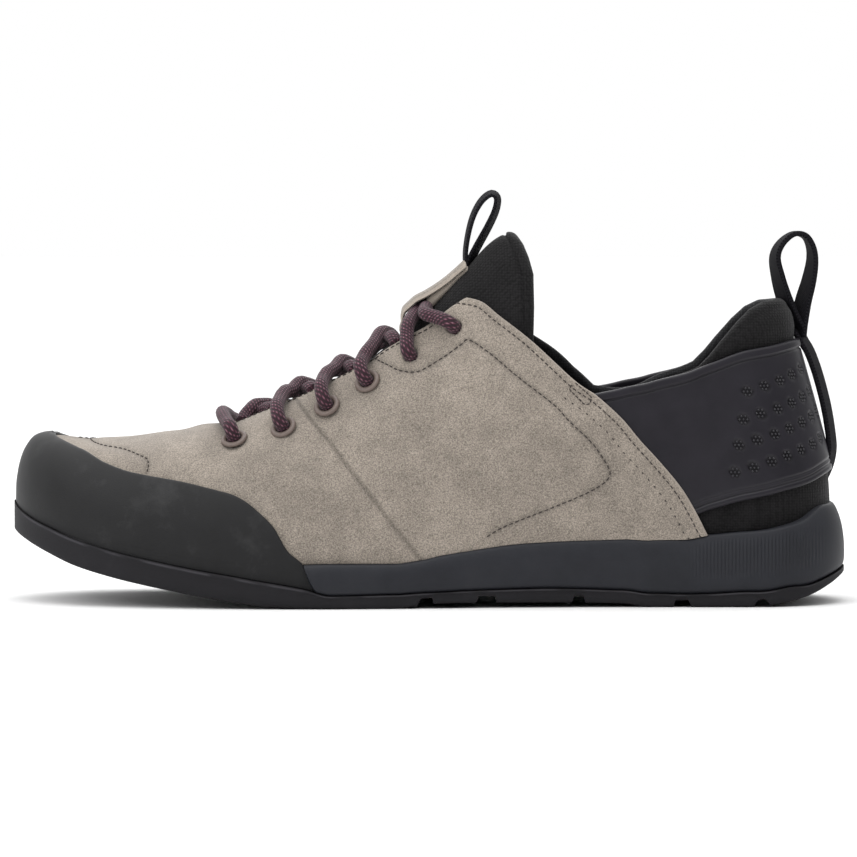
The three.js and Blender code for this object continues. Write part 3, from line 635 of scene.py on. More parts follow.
def along_and_across(tree):
    """Distance along a tape or cord in millimetres, and place across or round it."""
    run = node(tree, "ShaderNodeUVMap", uv_map="Run").outputs[0]
    apart = node(tree, "ShaderNodeSeparateXYZ", {"Vector": run})
    return apart.outputs["X"], apart.outputs["Y"]


def suede_material(name, colour):
    """Split cowhide, buffed to a nap: matte, mottled where the nap lies two ways, with a soft rim, and
    painted shade where a mesh's seam mask marks it.
    """
    material, tree = blank(name)
    place = object_place(tree)
    nap = noise(tree, place, 0.45, Roughness=0.75)
    fine = ramp(tree, nap, (0.34, scaled(colour, 0.48)), (0.68, scaled(colour, 1.50)))
    broad = mixed(tree, 0.5, noise(tree, place, 24, Distortion=0.6), noise(tree, place, 7))
    toned = multiplied(tree, fine, ramp(tree, broad, (0.38, grey(0.84)), (0.62, grey(1.12))))
    # Painted shade: the seam mask darkens the colour to 0.42 of it at full strength.
    seam_shade = ramp(tree, painted(tree, "seam"), (0.0, grey(1.0)), (1.0, grey(0.42)))
    edged = mixed(tree, painted(tree, "cut"), multiplied(tree, toned, seam_shade), scaled(colour, 1.25))
    pile = bumped(tree, noise(tree, place, 0.6, 2.0), 0.35, 0.25)
    lay = bumped(tree, nap, 0.3, 0.5, pile)
    finish_material(tree, edged, spread(tree, nap, 0.85, 1.0), lay,
                    Sheen_Weight=0.25, Sheen_Roughness=0.5, IOR=1.45, Specular_IOR_Level=0.2)
    return material


def rubber_material(name, colour, grain, roughness, dust):
    """Moulded rubber or foam: a fine grain, soft highlights and dust, with ribs, and a painted highlight
    where a mesh marks one.
    """
    material, tree = blank(name)
    place = object_place(tree)
    smear = noise(tree, place, 16, 5.0, Roughness=0.65)
    tone = ramp(tree, smear, (0.30, scaled(colour, 0.82)), (0.55, colour), (0.78, scaled(colour, 1, dust)))
    # Painted highlight: lightens the colour where the mesh marks a lit edge.
    toned = mixed(tree, painted(tree, "painted_highlight"), tone, scaled(colour, 3.5, 0.01))
    rough = spread(tree, smear, roughness - 0.06, roughness + 0.1)
    sand = bumped(tree, noise(tree, place, grain), 0.3, 0.15)
    lengthwise = node(tree, "ShaderNodeSeparateXYZ", {"Vector": place}).outputs["X"]
    wave = sine(tree, lengthwise, 2 * math.pi * per_mm(RIB_PITCH))
    ribs = bumped(tree, maths(tree, "MULTIPLY", wave, painted(tree, "ribbed")), 0.6, 0.3, sand)
    finish_material(tree, toned, rough, ribs, IOR=1.52, Specular_IOR_Level=0.18)
    return material


def coated_leather_material(name, colour):
    """Polyurethane-coated synthetic leather: an even satin coat over a fine embossed grain, with painted
    shade in its pressed dots.
    """
    material, tree = blank(name)
    place = object_place(tree)
    cells = node(tree, "ShaderNodeTexVoronoi", {"Vector": place, "Scale": per_mm(0.9)},
                 feature="DISTANCE_TO_EDGE").outputs["Distance"]
    cloud = noise(tree, place, 12)
    tone = ramp(tree, cloud, (0.35, scaled(colour, 0.82)), (0.65, colour))
    # Painted shade: the pressed mask darkens each dot's hollow towards 0.3 of the colour.
    dark = mixed(tree, painted(tree, "pressed"), tone, scaled(colour, 0.3))
    finish_material(tree, dark, spread(tree, cloud, 0.30, 0.44), bumped(tree, cells, 0.25, 0.08),
                    IOR=1.5, Specular_IOR_Level=0.24)
    return material


def knit_material(name, colour, pitch, sheen=0.1):
    """Warp-knitted polyester: rows of small stitches with dark pores between, matte."""
    material, tree = blank(name)
    place = object_place(tree)
    inputs = {"Vector": place, "Scale": per_mm(pitch), "Randomness": 0.35}
    loops = node(tree, "ShaderNodeTexVoronoi", inputs).outputs["Distance"]
    tone = ramp(tree, loops, (0.15, scaled(colour, 1.35)), (0.45, colour), (0.75, scaled(colour, 0.3)))
    shade = ramp(tree, noise(tree, place, 9), (0.3, grey(0.8)), (0.7, grey(1.1)))
    bump = bumped(tree, loops, 0.6, 0.35, invert=True)
    finish_material(tree, multiplied(tree, tone, shade), 0.92, bump,
                    Sheen_Weight=sheen, Sheen_Roughness=0.4, IOR=1.5, Specular_IOR_Level=0.2)
    return material


def woven_tape_material(name, colour, rib, thread):
    """Woven polyester tape: ribs across its run, crossed by fine threads along it."""
    material, tree = blank(name)
    along, across = along_and_across(tree)
    ribs, threads = sine(tree, along, 2 * math.pi / rib), sine(tree, across, 2 * math.pi / thread)
    weave = maths(tree, "MULTIPLY", ribs, threads)
    height = spread(tree, weave, start=-1.0)
    tone = ramp(tree, height, (0.2, scaled(colour, 0.4)), (0.8, scaled(colour, 1.8, 0.004)))
    finish_material(tree, tone, 0.75, bumped(tree, height, 0.6, 0.3), IOR=1.5, Specular_IOR_Level=0.08)
    return material


def braid_material(name, dark, bright, fleck):
    """Round braided polyester cord: rows of small bright flecks along it on a dark ground."""
    material, tree = blank(name)
    along, around = along_and_across(tree)
    around = maths(tree, "MULTIPLY", around, math.pi * BRAID_TURNS)
    slanted = maths(tree, "ADD", maths(tree, "MULTIPLY", along, 2 * math.pi / BRAID_PICK), around)
    row = maths(tree, "ABSOLUTE", maths(tree, "SINE", around))
    lit = spread(tree, maths(tree, "SINE", slanted), start=-0.7, end=0.9)
    cell = maths(tree, "MULTIPLY", row, lit)
    shown = maths(tree, "MULTIPLY", cell, noise(tree, object_place(tree), 1.1, 2.0))
    tone = ramp(tree, shown, (0.08, dark), (0.30, bright), (0.66, fleck))
    finish_material(tree, tone, 0.72, bumped(tree, cell, 0.7, 0.35),
                    Sheen_Weight=0.1, IOR=1.5, Specular_IOR_Level=0.3)
    return material


def plain_material(name, colour, roughness, grain, depth, mottle=0.85):
    """One even finish broken by a fine grain, for thread, painted rings and the floor."""
    material, tree = blank(name)
    grains = noise(tree, object_place(tree), grain)
    tone = ramp(tree, grains, (0.35, scaled(colour, mottle)), (0.65, colour))
    finish_material(tree, tone, roughness, bumped(tree, grains, 0.3, depth))
    return material


# Each finish: what makes it, the material's name, its colours in the settings, and its own values
FINISHES = {
    "buffed_suede": (suede_material, "buffed_suede", "suede"),
    "rand_rubber": (rubber_material, "moulded_rand_rubber", "rand", 0.5, 0.52, 0.018),
    "tread_rubber": (rubber_material, "moulded_tread_rubber", "tread", 0.6, 0.66, 0.006),
    "eva_foam": (rubber_material, "moulded_eva_foam", "foam", 0.35, 0.50, 0.004),
    "coated_leather": (coated_leather_material, "coated_synthetic_leather", "strap"),
    "knit": (knit_material, "warp_knit_polyester", "knit", 0.9),
    "lining": (knit_material, "brushed_knit_lining", "lining", 0.8, 0.2),
    "footbed": (knit_material, "brushed_footbed_textile", "lining", 0.6, 0.3),
    "tape": (woven_tape_material, "woven_polyester_tape", "tape", 1.1, 1.0),
    "braid": (braid_material, "braided_polyester_cord", "lace_dark lace lace_fleck"),
    "thread": (plain_material, "bonded_sewing_thread", "thread", 0.8, 0.5, 0.05),
    "ring": (plain_material, "painted_eyelet_ring", "ring", 0.5, 0.6, 0.03),
    "pip": (plain_material, "polished_rubber_pip", "strap", 0.28, 0.5, 0.02),
}
made_materials = {}


def finish_of(name):
    """The named finish in the scene's present colours, made once."""
    if name not in made_materials:
        make, title, colours, *values = FINISHES[name]
        settings = bpy.context.scene.shoe_colours
        shades = [(*getattr(settings, colour), 1.0) for colour in colours.split()]
        made_materials[name] = make(title, *shades, *values)
    return made_materials[name]


def colour_setting(label, code, meaning):
    return bpy.props.FloatVectorProperty(
        name=label, description=meaning, subtype="COLOR", size=3, min=0, max=1, default=linear(code)[:3])


def length_setting(label, millimetres, meaning):
    return bpy.props.FloatProperty(
        name=label, description=meaning, subtype="DISTANCE", unit="LENGTH", min=0, default=millimetres * MM)


class ShoeColours(bpy.types.PropertyGroup):
    suede: colour_setting("Suede", "#8f867c", "Buffed suede of the vamp, the quarters and the keeper")
    rand: colour_setting("Rand", "#212122", "Rubber round the toe")
    tread: colour_setting("Outsole", "#201f22", "Rubber under the shoe")
    foam: colour_setting("Midsole", "#28292e", "Foam over the outsole")
    strap: colour_setting("Strap", "#232127", "Coated panel round the heel")
    knit: colour_setting("Knit", "#191819", "Knitted mesh of the tongue and the heel")
    lining: colour_setting("Lining", "#232325", "Lining and footbed")
    tape: colour_setting("Tape", "#121115", "Woven pull loops")
    lace: colour_setting("Lace", "#4d2334", "Bright strands of the lace")
    lace_dark: colour_setting("Lace, dark", "#2a1820", "Dark strands of the lace")
    lace_fleck: colour_setting("Lace, fleck", "#8d6672", "Palest strands of the lace")
    thread: colour_setting("Thread", "#3a3432", "Sewing thread")
    ring: colour_setting("Eyelet rings", "#6e6059", "Painted rings of the eyelets")
    floor: colour_setting("Floor", "#f0f0f0", "Floor under the shoe")


class ShoeSizes(bpy.types.PropertyGroup):
    stitch_pitch: length_setting("Stitch pitch", 2.1, "From one stitch to the next")
    stitch_length: length_setting("Stitch length", 1.4, "Length of one stitch")
    thread_radius: length_setting("Thread radius", 0.2, "Half the thickness of the thread")
    lace_radius: length_setting("Lace radius", 2.35, "Half the thickness of the braided lace")
    dot_radius: length_setting("Dot radius", 2.05, "Half the width of a pressed dot on the heel strap")
    dot_pitch: length_setting("Dot pitch", 6.3, "From one pressed dot to the next round the heel")


def size(name):
    """A size of the panel, in millimetres."""
    return getattr(bpy.context.scene.shoe_sizes, name) / MM


# Lines of the side view: along the form, and up from the foot line in shares of the local height
SUEDE_BACK = [
    [0.157, -0.010], [0.175, 0.129], [0.192, 0.233], [0.218, 0.347], [0.241, 0.436], [0.262, 0.523],
    [0.292, 0.622], [0.318, 0.690], [0.371, 0.869], [0.411, 0.990], [0.433, 1.060], [0.461, 1.095],
]
COLLAR = table("along up", [
    [0.000, 0.985], [0.060, 1.005], [0.084, 1.010], [0.102, 0.985], [0.120, 0.930], [0.140, 0.855],
    [0.155, 0.792], [0.168, 0.752], [0.218, 0.705], [0.270, 0.652], [0.292, 0.631], [0.318, 0.690],
    [0.371, 0.869], [0.411, 0.988], [0.433, 1.056], [0.461, 1.082],
])
THROAT = table("along half", [
    [0.440, 0.182], [0.462, 0.180], [0.495, 0.168], [0.538, 0.148], [0.600, 0.125], [0.663, 0.108],
    [0.710, 0.096], [0.735, 0.084], [0.750, 0.058], [0.757, 0.000],
])
STRAP_TOP = table("along up", [
    [0.000, 0.800], [0.041, 0.808], [0.102, 0.798], [0.161, 0.745], [0.218, 0.700], [0.270, 0.652],
    [0.288, 0.640], [0.330, 0.600],
])
STRAP_BOTTOM = table("along up", [
    [0.000, 0.150], [0.030, 0.158], [0.062, 0.155], [0.109, 0.138], [0.150, 0.112], [0.172, 0.095],
    [0.220, 0.060], [0.330, 0.010],
])
RAND_EDGE = table("along up", [
    [0.630, -0.150], [0.640, -0.081], [0.651, 0.003], [0.668, 0.056], [0.687, 0.164], [0.703, 0.218],
    [0.721, 0.262], [0.742, 0.287], [0.804, 0.306], [0.860, 0.301], [0.891, 0.308], [0.922, 0.327],
    [0.955, 0.328], [0.966, 0.345],
])
RAND_CLOSED = 0.964
LACE_ROWS = table("along out ringed", [
    [0.735, 0.240, 1], [0.674, 0.260, 1], [0.621, 0.240, 1], [0.571, 0.222, 1], [0.519, 0.218, 0],
    [0.466, 0.224, 0],
])

# Stitch lines of the outer side, mirrored on the inner one
QUARTER_LINE = [
    [0.567, 0.870], [0.558, 0.857], [0.544, 0.835], [0.534, 0.818], [0.518, 0.803], [0.505, 0.806],
    [0.479, 0.842], [0.458, 0.884], [0.448, 0.900], [0.421, 0.825], [0.390, 0.721], [0.345, 0.589],
    [0.328, 0.522], [0.302, 0.432], [0.290, 0.378], [0.280, 0.320], [0.277, 0.284], [0.285, 0.245],
    [0.307, 0.202], [0.343, 0.152], [0.384, 0.105], [0.413, 0.072], [0.433, 0.036],
]
TOE_LINE = [
    [0.934, 0.378], [0.903, 0.375], [0.871, 0.389], [0.845, 0.377], [0.841, 0.368], [0.840, 0.346],
    [0.842, 0.314],
]
VAMP_SEAM = [
    [0.661, 0.696], [0.640, 0.602], [0.618, 0.513], [0.600, 0.429], [0.583, 0.350], [0.565, 0.271],
    [0.547, 0.187], [0.527, 0.098], [0.507, 0.002],
]
TAB_BOX = [[0.320, 0.685], [0.299, 0.615], [0.302, 0.587], [0.309, 0.588], [0.327, 0.657], [0.320, 0.685]]

# Soft troughs and ridges of the suede: from, to, depth outwards and width in millimetres
CREASES = table("from_along from_up to_along to_up rise width", [
    [0.800, 0.480, 0.765, 0.330, -0.60, 4.5],
    [0.775, 0.520, 0.735, 0.330, 0.45, 4.5],
    [0.745, 0.540, 0.705, 0.330, -0.60, 5.0],
    [0.700, 0.600, 0.680, 0.420, 0.40, 5.5],
    [0.640, 0.640, 0.600, 0.380, -0.50, 6.5],
    [0.600, 0.550, 0.540, 0.300, -0.50, 8.0],
    [0.480, 0.700, 0.430, 0.400, -0.60, 10.0],
    [0.380, 0.560, 0.330, 0.300, 0.55, 10.0],
    [0.520, 0.180, 0.430, 0.120, -0.50, 7.0],
    [0.690, 0.300, 0.610, 0.150, -0.45, 7.0],
])


def line_read(line, key, value):
    """Straight reading between a line's points."""
    return lambda at: np.interp(at, line[key], line[value])


collar_up = line_read(COLLAR, "along", "up")
throat_half = reader(THROAT, "half")
strap_top = reader(STRAP_TOP, "up")
strap_bottom = reader(STRAP_BOTTOM, "up")
rand_edge = reader(RAND_EDGE, "up")


def collar_line(along, side):
    """The collar's height; the inner side stands higher where it meets the quarter and lower behind that."""
    rise = 0.052 * np.exp(-((along - 0.330) / 0.045) ** 2) - 0.03 * np.exp(-((along - 0.250) / 0.03) ** 2)
    return collar_up(along) + (rise if side < 0 else 0)


def leaned(station, line):
    """The height on a side view line at a station of the form, where the heel's lean moves the place."""
    foot, height = foot_line(form_x(station)), local_height(station)
    up = line(station)
    for _ in range(16):
        moved = form_x(station) + heel_lean(station, up * height)
        along = form_along(moved)
        level = foot_line(moved) + line(along) * local_height(along)
        up = 0.5 * up + 0.5 * (level - foot) / height
    return up


def round_edge(outer, inner, distance):
    """Rolls two offsets together where the distance to the edge is under half the thickness."""
    middle, half = (outer + inner) / 2, (outer - inner) / 2
    t = np.clip(distance / np.maximum(half, 1e-6), 0, 1)
    scale = np.sqrt(np.clip(1 - (1 - t) ** 2, 0, 1))
    return middle + half * scale, middle - half * scale


def from_ends(points, axis):
    """Distance along the rows or columns of a grid of points, from whichever end is nearer."""
    back = np.flip(run_lengths(np.flip(points, axis), axis), axis)
    return np.minimum(run_lengths(points, axis), back)


def moved_out(base, normal, *distances):
    """Copies of a grid of points, each moved out along the normals."""
    return [base + normal * out[..., None] for out in distances]


def seat_foot(*grids):
    """Puts the first row of each grid on the foot line."""
    for points in grids:
        points[0, :, 2] = foot_line(points[0, :, 0])


def run_lengths(points, axis):
    """Distance along the rows or columns of a grid of points."""
    steps = np.linalg.norm(np.diff(points, axis=axis), axis=-1)
    zero = np.zeros_like(np.take(steps, [0], axis=axis))
    return np.concatenate([zero, np.cumsum(steps, axis=axis)], axis=axis)


# How deep a row of stitches presses the suede and half how wide, the step at the vamp's seam, and how far
# the suede lifts over the strap's front edge
STITCH_PRESS = 0.32
STITCH_SPREAD = 0.9
SEAM_STEP = 0.38
STRAP_LIFT = 1.75

SUEDE_STITCHES = [QUARTER_LINE, TOE_LINE]
stitch_lines = [resample(side_mm(line), spacing=2.0) for line in SUEDE_STITCHES]
seam_line = resample(side_mm(VAMP_SEAM), spacing=2.0)
back_line = resample(side_mm(SUEDE_BACK), spacing=2.0)


def lace_hole(row, side):
    """Station and angle of a lace hole."""
    along = LACE_ROWS["along"][row]
    angle = float(angle_at(along, LACE_ROWS["out"][row] * BALL_WIDTH))
    return along, angle if side > 0 else np.pi - angle


def suede_out(points):
    """How far the suede's face stands out from the last, with its creases, seams and lift over the strap."""
    flat = points[..., [0, 2]]
    x, z = flat[..., 0], flat[..., 1]
    out = np.full(x.shape, SUEDE)
    out += 0.24 * np.sin(x / 10.5 + 1.3) * np.sin(z / 9.0 + 0.4) + 0.12 * np.sin(x / 5.3 - z / 7.1)
    for row in np.stack(list(CREASES.values()), -1):
        ends = side_mm([row[0:2], row[2:4]])
        bend = (ends[0] + ends[1]) / 2 + (2.5, 0)
        away = distance_to(flat, resample([ends[0], bend, ends[1]], count=8))
        out += row[4] * np.exp(-(away / row[5]) ** 2)
    for line in stitch_lines:
        out -= STITCH_PRESS * np.exp(-(distance_to(flat, line) / STITCH_SPREAD) ** 2)
    behind = np.interp(z, seam_line[::-1, 1], seam_line[::-1, 0]) - x
    on_seam = (z < seam_line[0, 1]) & (z > seam_line[-1, 1])
    near = np.exp(-(distance_to(flat, seam_line) / 14) ** 2)
    out += np.where(on_seam, SEAM_STEP * near * (smoothstep(behind, -0.45, 0.45) - 0.5), 0)
    to_back = distance_to(flat, back_line)
    below = smoothstep(-form_along(x), -0.33, -0.29)
    out += STRAP_LIFT * below * (1 - smoothstep(to_back, 2.0, 17.0))
    out -= 0.3 * np.exp(-((to_back - 2.6) / 0.8) ** 2)
    return out


def suede_grid(side):
    """Stations and angles of the suede of one side, from the back edge (column 0) to the toe."""
    back = resample(side_mm(SUEDE_BACK), spacing=0.4)
    station, angle = from_side(back[:, 0], back[:, 1], side)
    sideways = np.abs(form_point(station, angle)[:, 1] - BALL_WIDTH * upper["axis"](station))
    inside = (sideways <= BALL_WIDTH * throat_half(station)) & (station > 0.42)
    last = np.argmax(inside) if inside.any() else len(station) - 1
    station, angle = station[:last + 1], angle[:last + 1]

    turn = np.sin(np.linspace(0, np.pi / 2, 400))
    throat_station = station[-1] + (THROAT_FRONT - station[-1]) * turn
    throat_angle = angle_at(throat_station, side * BALL_WIDTH * throat_half(throat_station))
    throat_angle[-1] = np.pi / 2
    crest = np.linspace(THROAT_FRONT, 1, 200)[1:]
    top_station = np.concatenate([throat_station, crest])
    top_angle = np.concatenate([throat_angle, np.full(len(crest), np.pi / 2)])

    columns, rows = (300, 92) if side > 0 else (200, 64)
    top_run = run_lengths(form_point(top_station, top_angle)[None], 1)[0]
    s = fine_ends(columns, 1 / 190)
    top_station, top_angle = (np.interp(s * top_run[-1], top_run, v) for v in (top_station, top_angle))
    back_run = run_lengths(form_point(station, angle)[None], 1)[0]
    t = fine_ends(rows, 1 / 95)
    back_station, back_angle = (np.interp(t * back_run[-1], back_run, v) for v in (station, angle))

    foot = 0 if side > 0 else np.pi
    bottom_station = back_station[0] + (1 - back_station[0]) * s ** 0.85
    s, t = s[None, :], t[:, None]

    def blend(bottom, top, left, right):
        rows_part = (1 - t) * bottom[None] + t * top[None]
        columns_part = (1 - s) * left[:, None] + s * right[:, None]
        corners = ((1 - s) * (1 - t) * bottom[0] + s * (1 - t) * bottom[-1]
                   + (1 - s) * t * top[0] + s * t * top[-1])
        return rows_part + columns_part - corners

    grid_station = blend(bottom_station, top_station, back_station, np.ones(t.size))
    right_angle = foot + (np.pi / 2 - foot) * t[:, 0]
    grid_angle = blend(np.full(s.size, float(foot)), top_angle, back_angle, right_angle)
    return np.clip(grid_station, 0, 1), np.clip(grid_angle, 0, np.pi)


def make_suede(side):
    """One side of the suede, from its sewn back edge round the lace holes to the toe."""
    station, angle = suede_grid(side)
    base = form_point(station, angle)
    out = suede_out(base)
    from_top = run_lengths(base[::-1], 0)[::-1]
    from_back = run_lengths(base, 1)
    top_is_free = station[-1] < THROAT_FRONT
    top_distance = np.where(top_is_free[None, :], from_top, FAR)
    edge = np.minimum(top_distance, from_back)
    low = 1 - smoothstep(station, 0.29, 0.33)
    thinned = WALL + 1.2 * (1 - smoothstep(from_back, 4, 14))
    inner = -WALL + thinned * low * (1 - smoothstep(from_back, 12, 20))
    flat = base[..., [0, 2]]
    # The seam mask is painted shade: darker along the vamp's seam and the stitch lines, and darkest round
    # the lace holes.
    seam = np.exp(-(distance_to(flat, seam_line) / 0.7) ** 2)
    seam = np.where(base[..., 2] > seam_line[-1, 1] - 1, 0.75 * seam, 0)
    for line in stitch_lines:
        seam = np.maximum(seam, 0.35 * np.exp(-(distance_to(flat, line) / STITCH_SPREAD) ** 2))
    centre = form_normal(station, angle)
    for row in range(len(LACE_ROWS["along"])):
        hole = form_point(*lace_hole(row, side))
        away = np.linalg.norm(base - hole, axis=-1)
        ringed = LACE_ROWS["ringed"][row] > 0
        bore = EYELET_BORE / 2 + (0.2 if ringed else -0.2)
        out = out - (0.25 * np.exp(-(away / 6) ** 2) if ringed else 0.15 * np.exp(-(away / 4) ** 2))
        out = np.where(away < bore, np.minimum(out, -0.9), out)
        # Painted shade round the lace hole, through the seam mask.
        seam = np.maximum(seam, 1.0 * (1 - smoothstep(away, bore - 0.2, bore + 0.7)))
    cut = (1 - smoothstep(edge, 0.3, 1.0)) * 0.8
    outer, inner = round_edge(out, inner, edge)
    points_out, points_in = moved_out(base, centre, outer, inner)
    seat_foot(points_out, points_in)
    name = "suede_outer" if side > 0 else "suede_inner"
    materials = [finish_of("buffed_suede"), finish_of("lining")]
    return panel(name, points_out, points_in, materials, {"seam": seam, "cut": cut})


def heel_columns(front, count):
    """Signed stations round the heel, evenly spaced along its outline: positive on the outer side."""
    u = np.sign(np.linspace(-1, 1, 2001)) * np.abs(np.linspace(-1, 1, 2001)) ** 2 * front
    side_angle = np.where(u > 0, 0.25 * np.pi, 0.75 * np.pi)
    path = form_point(np.abs(u), side_angle)
    run = run_lengths(path[None], 1)[0]
    return np.interp(np.linspace(0, run[-1], count), run, u)[::-1]


def make_sock():
    """The knitted heel, its padded collar, and the lining on under the suede."""
    columns = heel_columns(0.45, 300)
    side = np.where(columns > 0, 1, -1)
    station = np.abs(columns)
    top = np.zeros_like(station)
    for hand in (1, -1):
        mine = side == hand
        top[mine] = leaned(station[mine], lambda along: collar_line(along, hand))
    tucked = np.where(side > 0, 0.075 * smoothstep(station, 0.290, 0.315), 0)
    top = top - tucked
    rows = fine_ends(74, 1 / 78, near=(0, 0.2, 0.5, 0.9, 1.4))
    up = rows[:, None] * top[None]
    station = np.broadcast_to(station, up.shape)
    share = up / upper["crown"](station)
    angle = side_angle(station, share, side[None] > 0)
    base = form_point(station, angle)
    normal = form_normal(station, angle)
    height = local_height(station)
    from_top = (top[None] - up) * height
    strap = leaned(station, strap_top)
    pad = np.clip((top[None] - strap) * height, 0, 14)
    inside_pad = np.clip((up - strap) / np.maximum(top[None] - strap, 1e-3), 0, 1)
    pad = pad * (1 - smoothstep(station, 0.20, 0.27))
    swell = 0.13 * pad * np.sin(np.pi * inside_pad) ** 0.8
    rib = 0.35 * np.exp(-((from_top - 3.4) / 0.7) ** 2) * smoothstep(pad, 3, 8)
    soft = 2.6 * smoothstep(-from_top, -26, -6) * (1 - smoothstep(station, 0.24, 0.44))
    quilting = 0.45 * soft / 2.6 * np.sin(from_top * np.pi / 5.2) ** 2
    outer, inner = round_edge(swell - rib, -WALL + 0.1 - soft - quilting, from_top)
    points_out, points_in = moved_out(base, normal, outer, inner)
    seat_foot(points_out, points_in)
    materials = [finish_of("knit"), finish_of("lining")]
    return panel("heel_sock", points_out, points_in, materials)


# Pressed dots of the strap: where each row starts on the outer side, and its height. The rows rise towards
# the back by DOT_RISE for each millimetre, and a dot holds a ring of small domes round one in its middle.
DOT_ROWS = [[-106.0, 71.0], [-104.6, 62.3], [-103.1, 53.8], [-101.6, 44.8]]
DOT_RISE = 0.27
PIP_RING = 1.3
PIP_RADIUS = 0.45
# A dome's rings from its foot up, as width and height in shares of its radius
PIP_PROFILE = ((1.0, -0.6), (0.9, 0.3), (0.5, 0.75))
HEM_ROWS = (0, 0.12, 0.3, 0.6, 1.0, 1.4, 1.7, 2.0, 2.3, 2.6, 2.9, 3.2, 3.5, 3.8, 4.1, 4.5)


def pip(centre, across, over, out, radius):
    """A small dome of rubber: points, faces and run coordinates."""
    turn = 2 * np.pi * np.arange(8) / 8
    ring = across * np.cos(turn)[:, None] + over * np.sin(turn)[:, None]
    points = [centre + radius * (ring * wide + out * tall) for wide, tall in PIP_PROFILE]
    points = np.concatenate([*points, [centre + radius * 0.9 * out]])
    faces = grid_faces(3, 8, closed=True).tolist()
    faces += [[16 + k, 16 + (k + 1) % 8, 24] for k in range(8)]
    return points, faces, np.zeros((len(points), 2))


def make_strap():
    """The coated panel round the heel with its bound top and hemmed foot, painted shade in its pressed dots,
    and its rosettes of small pips.
    """
    count, rows_count = 320, 60
    t = fine_ends(rows_count, 1 / 46, near=HEM_ROWS)
    edge = side_mm(SUEDE_BACK)
    edge_up = (edge[:, 1] - foot_line(edge[:, 0])) / local_height(form_along(edge[:, 0]))
    unit = heel_columns(0.3, count) / 0.3
    unit = unit / np.max(np.abs(unit))
    station = np.broadcast_to(np.abs(unit) * 0.3, (t.size, count)).copy()
    t = t[:, None]
    for _ in range(10):
        low, high = leaned(station, strap_bottom), leaned(station, strap_top)
        up = low + (high - low) * t
        front = np.interp(up, edge_up, form_along(edge[:, 0])) + 0.026
        station = 0.5 * station + 0.5 * np.abs(unit)[None] * front
    share = up / upper["crown"](station)
    side = np.broadcast_to(unit[None] > 0, station.shape)
    angle = side_angle(station, share, side)
    base = form_point(station, angle)
    normal = form_normal(station, angle)
    tall = (high - low) * local_height(station)
    from_top, from_bottom = (1 - t) * tall, t * tall
    centre_column = np.argmin(np.abs(unit))
    run = run_lengths(base, 1)
    run = run - run[:, [centre_column]]
    out = np.full(station.shape, GAP + STRAP)
    out += 0.55 * (1 - smoothstep(from_top, 2.6, 3.0)) - 0.45 * np.exp(-((from_top - 3.2) / 0.3) ** 2)
    out += 0.25 * (1 - smoothstep(from_bottom, 1.7, 2.0)) - 0.45 * np.exp(-((from_bottom - 2.2) / 0.3) ** 2)
    out -= 0.35 * np.exp(-((from_bottom - 3.8) / 0.3) ** 2)
    out += 0.10 * np.sin(run / 17) * np.sin(from_bottom / 9)
    pressed = np.zeros(station.shape)
    pips = []
    radius, pitch = size("dot_radius"), size("dot_pitch")
    for start_x, height in DOT_ROWS:
        at = np.argmin(np.hypot(base[..., 0] - start_x, base[..., 2] - height) + FAR * ~side)
        first = abs(run.ravel()[at])
        level = base[..., 2].ravel()[at]
        for place in np.arange(first, 8.0, -pitch):
            for hand in (1, -1):
                over_level = base[..., 2] - level - DOT_RISE * (first - place)
                away = np.hypot(np.abs(run) - place, over_level * 1.04)
                away = np.where(np.sign(run) == hand, away, FAR)
                hollow = 1 - smoothstep(away, radius - 0.4, radius + 0.1)
                out -= 0.4 * hollow
                # The pressed mask carries painted shade into the dot's hollow.
                pressed = np.maximum(pressed, 0.8 * hollow)
                nearest = np.argmin(away)
                place_out = normal.reshape(-1, 3)[nearest]
                sideways = np.cross((0.0, 0.0, 1.0), place_out)
                sideways /= np.linalg.norm(sideways)
                over = np.cross(place_out, sideways)
                centre = base.reshape(-1, 3)[nearest] + place_out * (GAP + STRAP - 0.3)
                pips.append(pip(centre, sideways, over, place_out, PIP_RADIUS))
                for turn in np.arange(6) * np.pi / 3:
                    step = sideways * math.cos(turn) + over * math.sin(turn)
                    pips.append(pip(centre + step * PIP_RING, sideways, over, place_out, PIP_RADIUS))
    edge_distance = np.minimum(from_top, from_bottom)
    outer, inner = round_edge(out, np.full(out.shape, GAP * 0.3), edge_distance)
    points_out, points_in = moved_out(base, normal, outer, inner)
    leather = [finish_of("coated_leather")]
    strap = panel("heel_strap_panel", points_out, points_in, leather, {"pressed": pressed})
    return strap, joined("heel_strap_pips", pips, [finish_of("pip")])


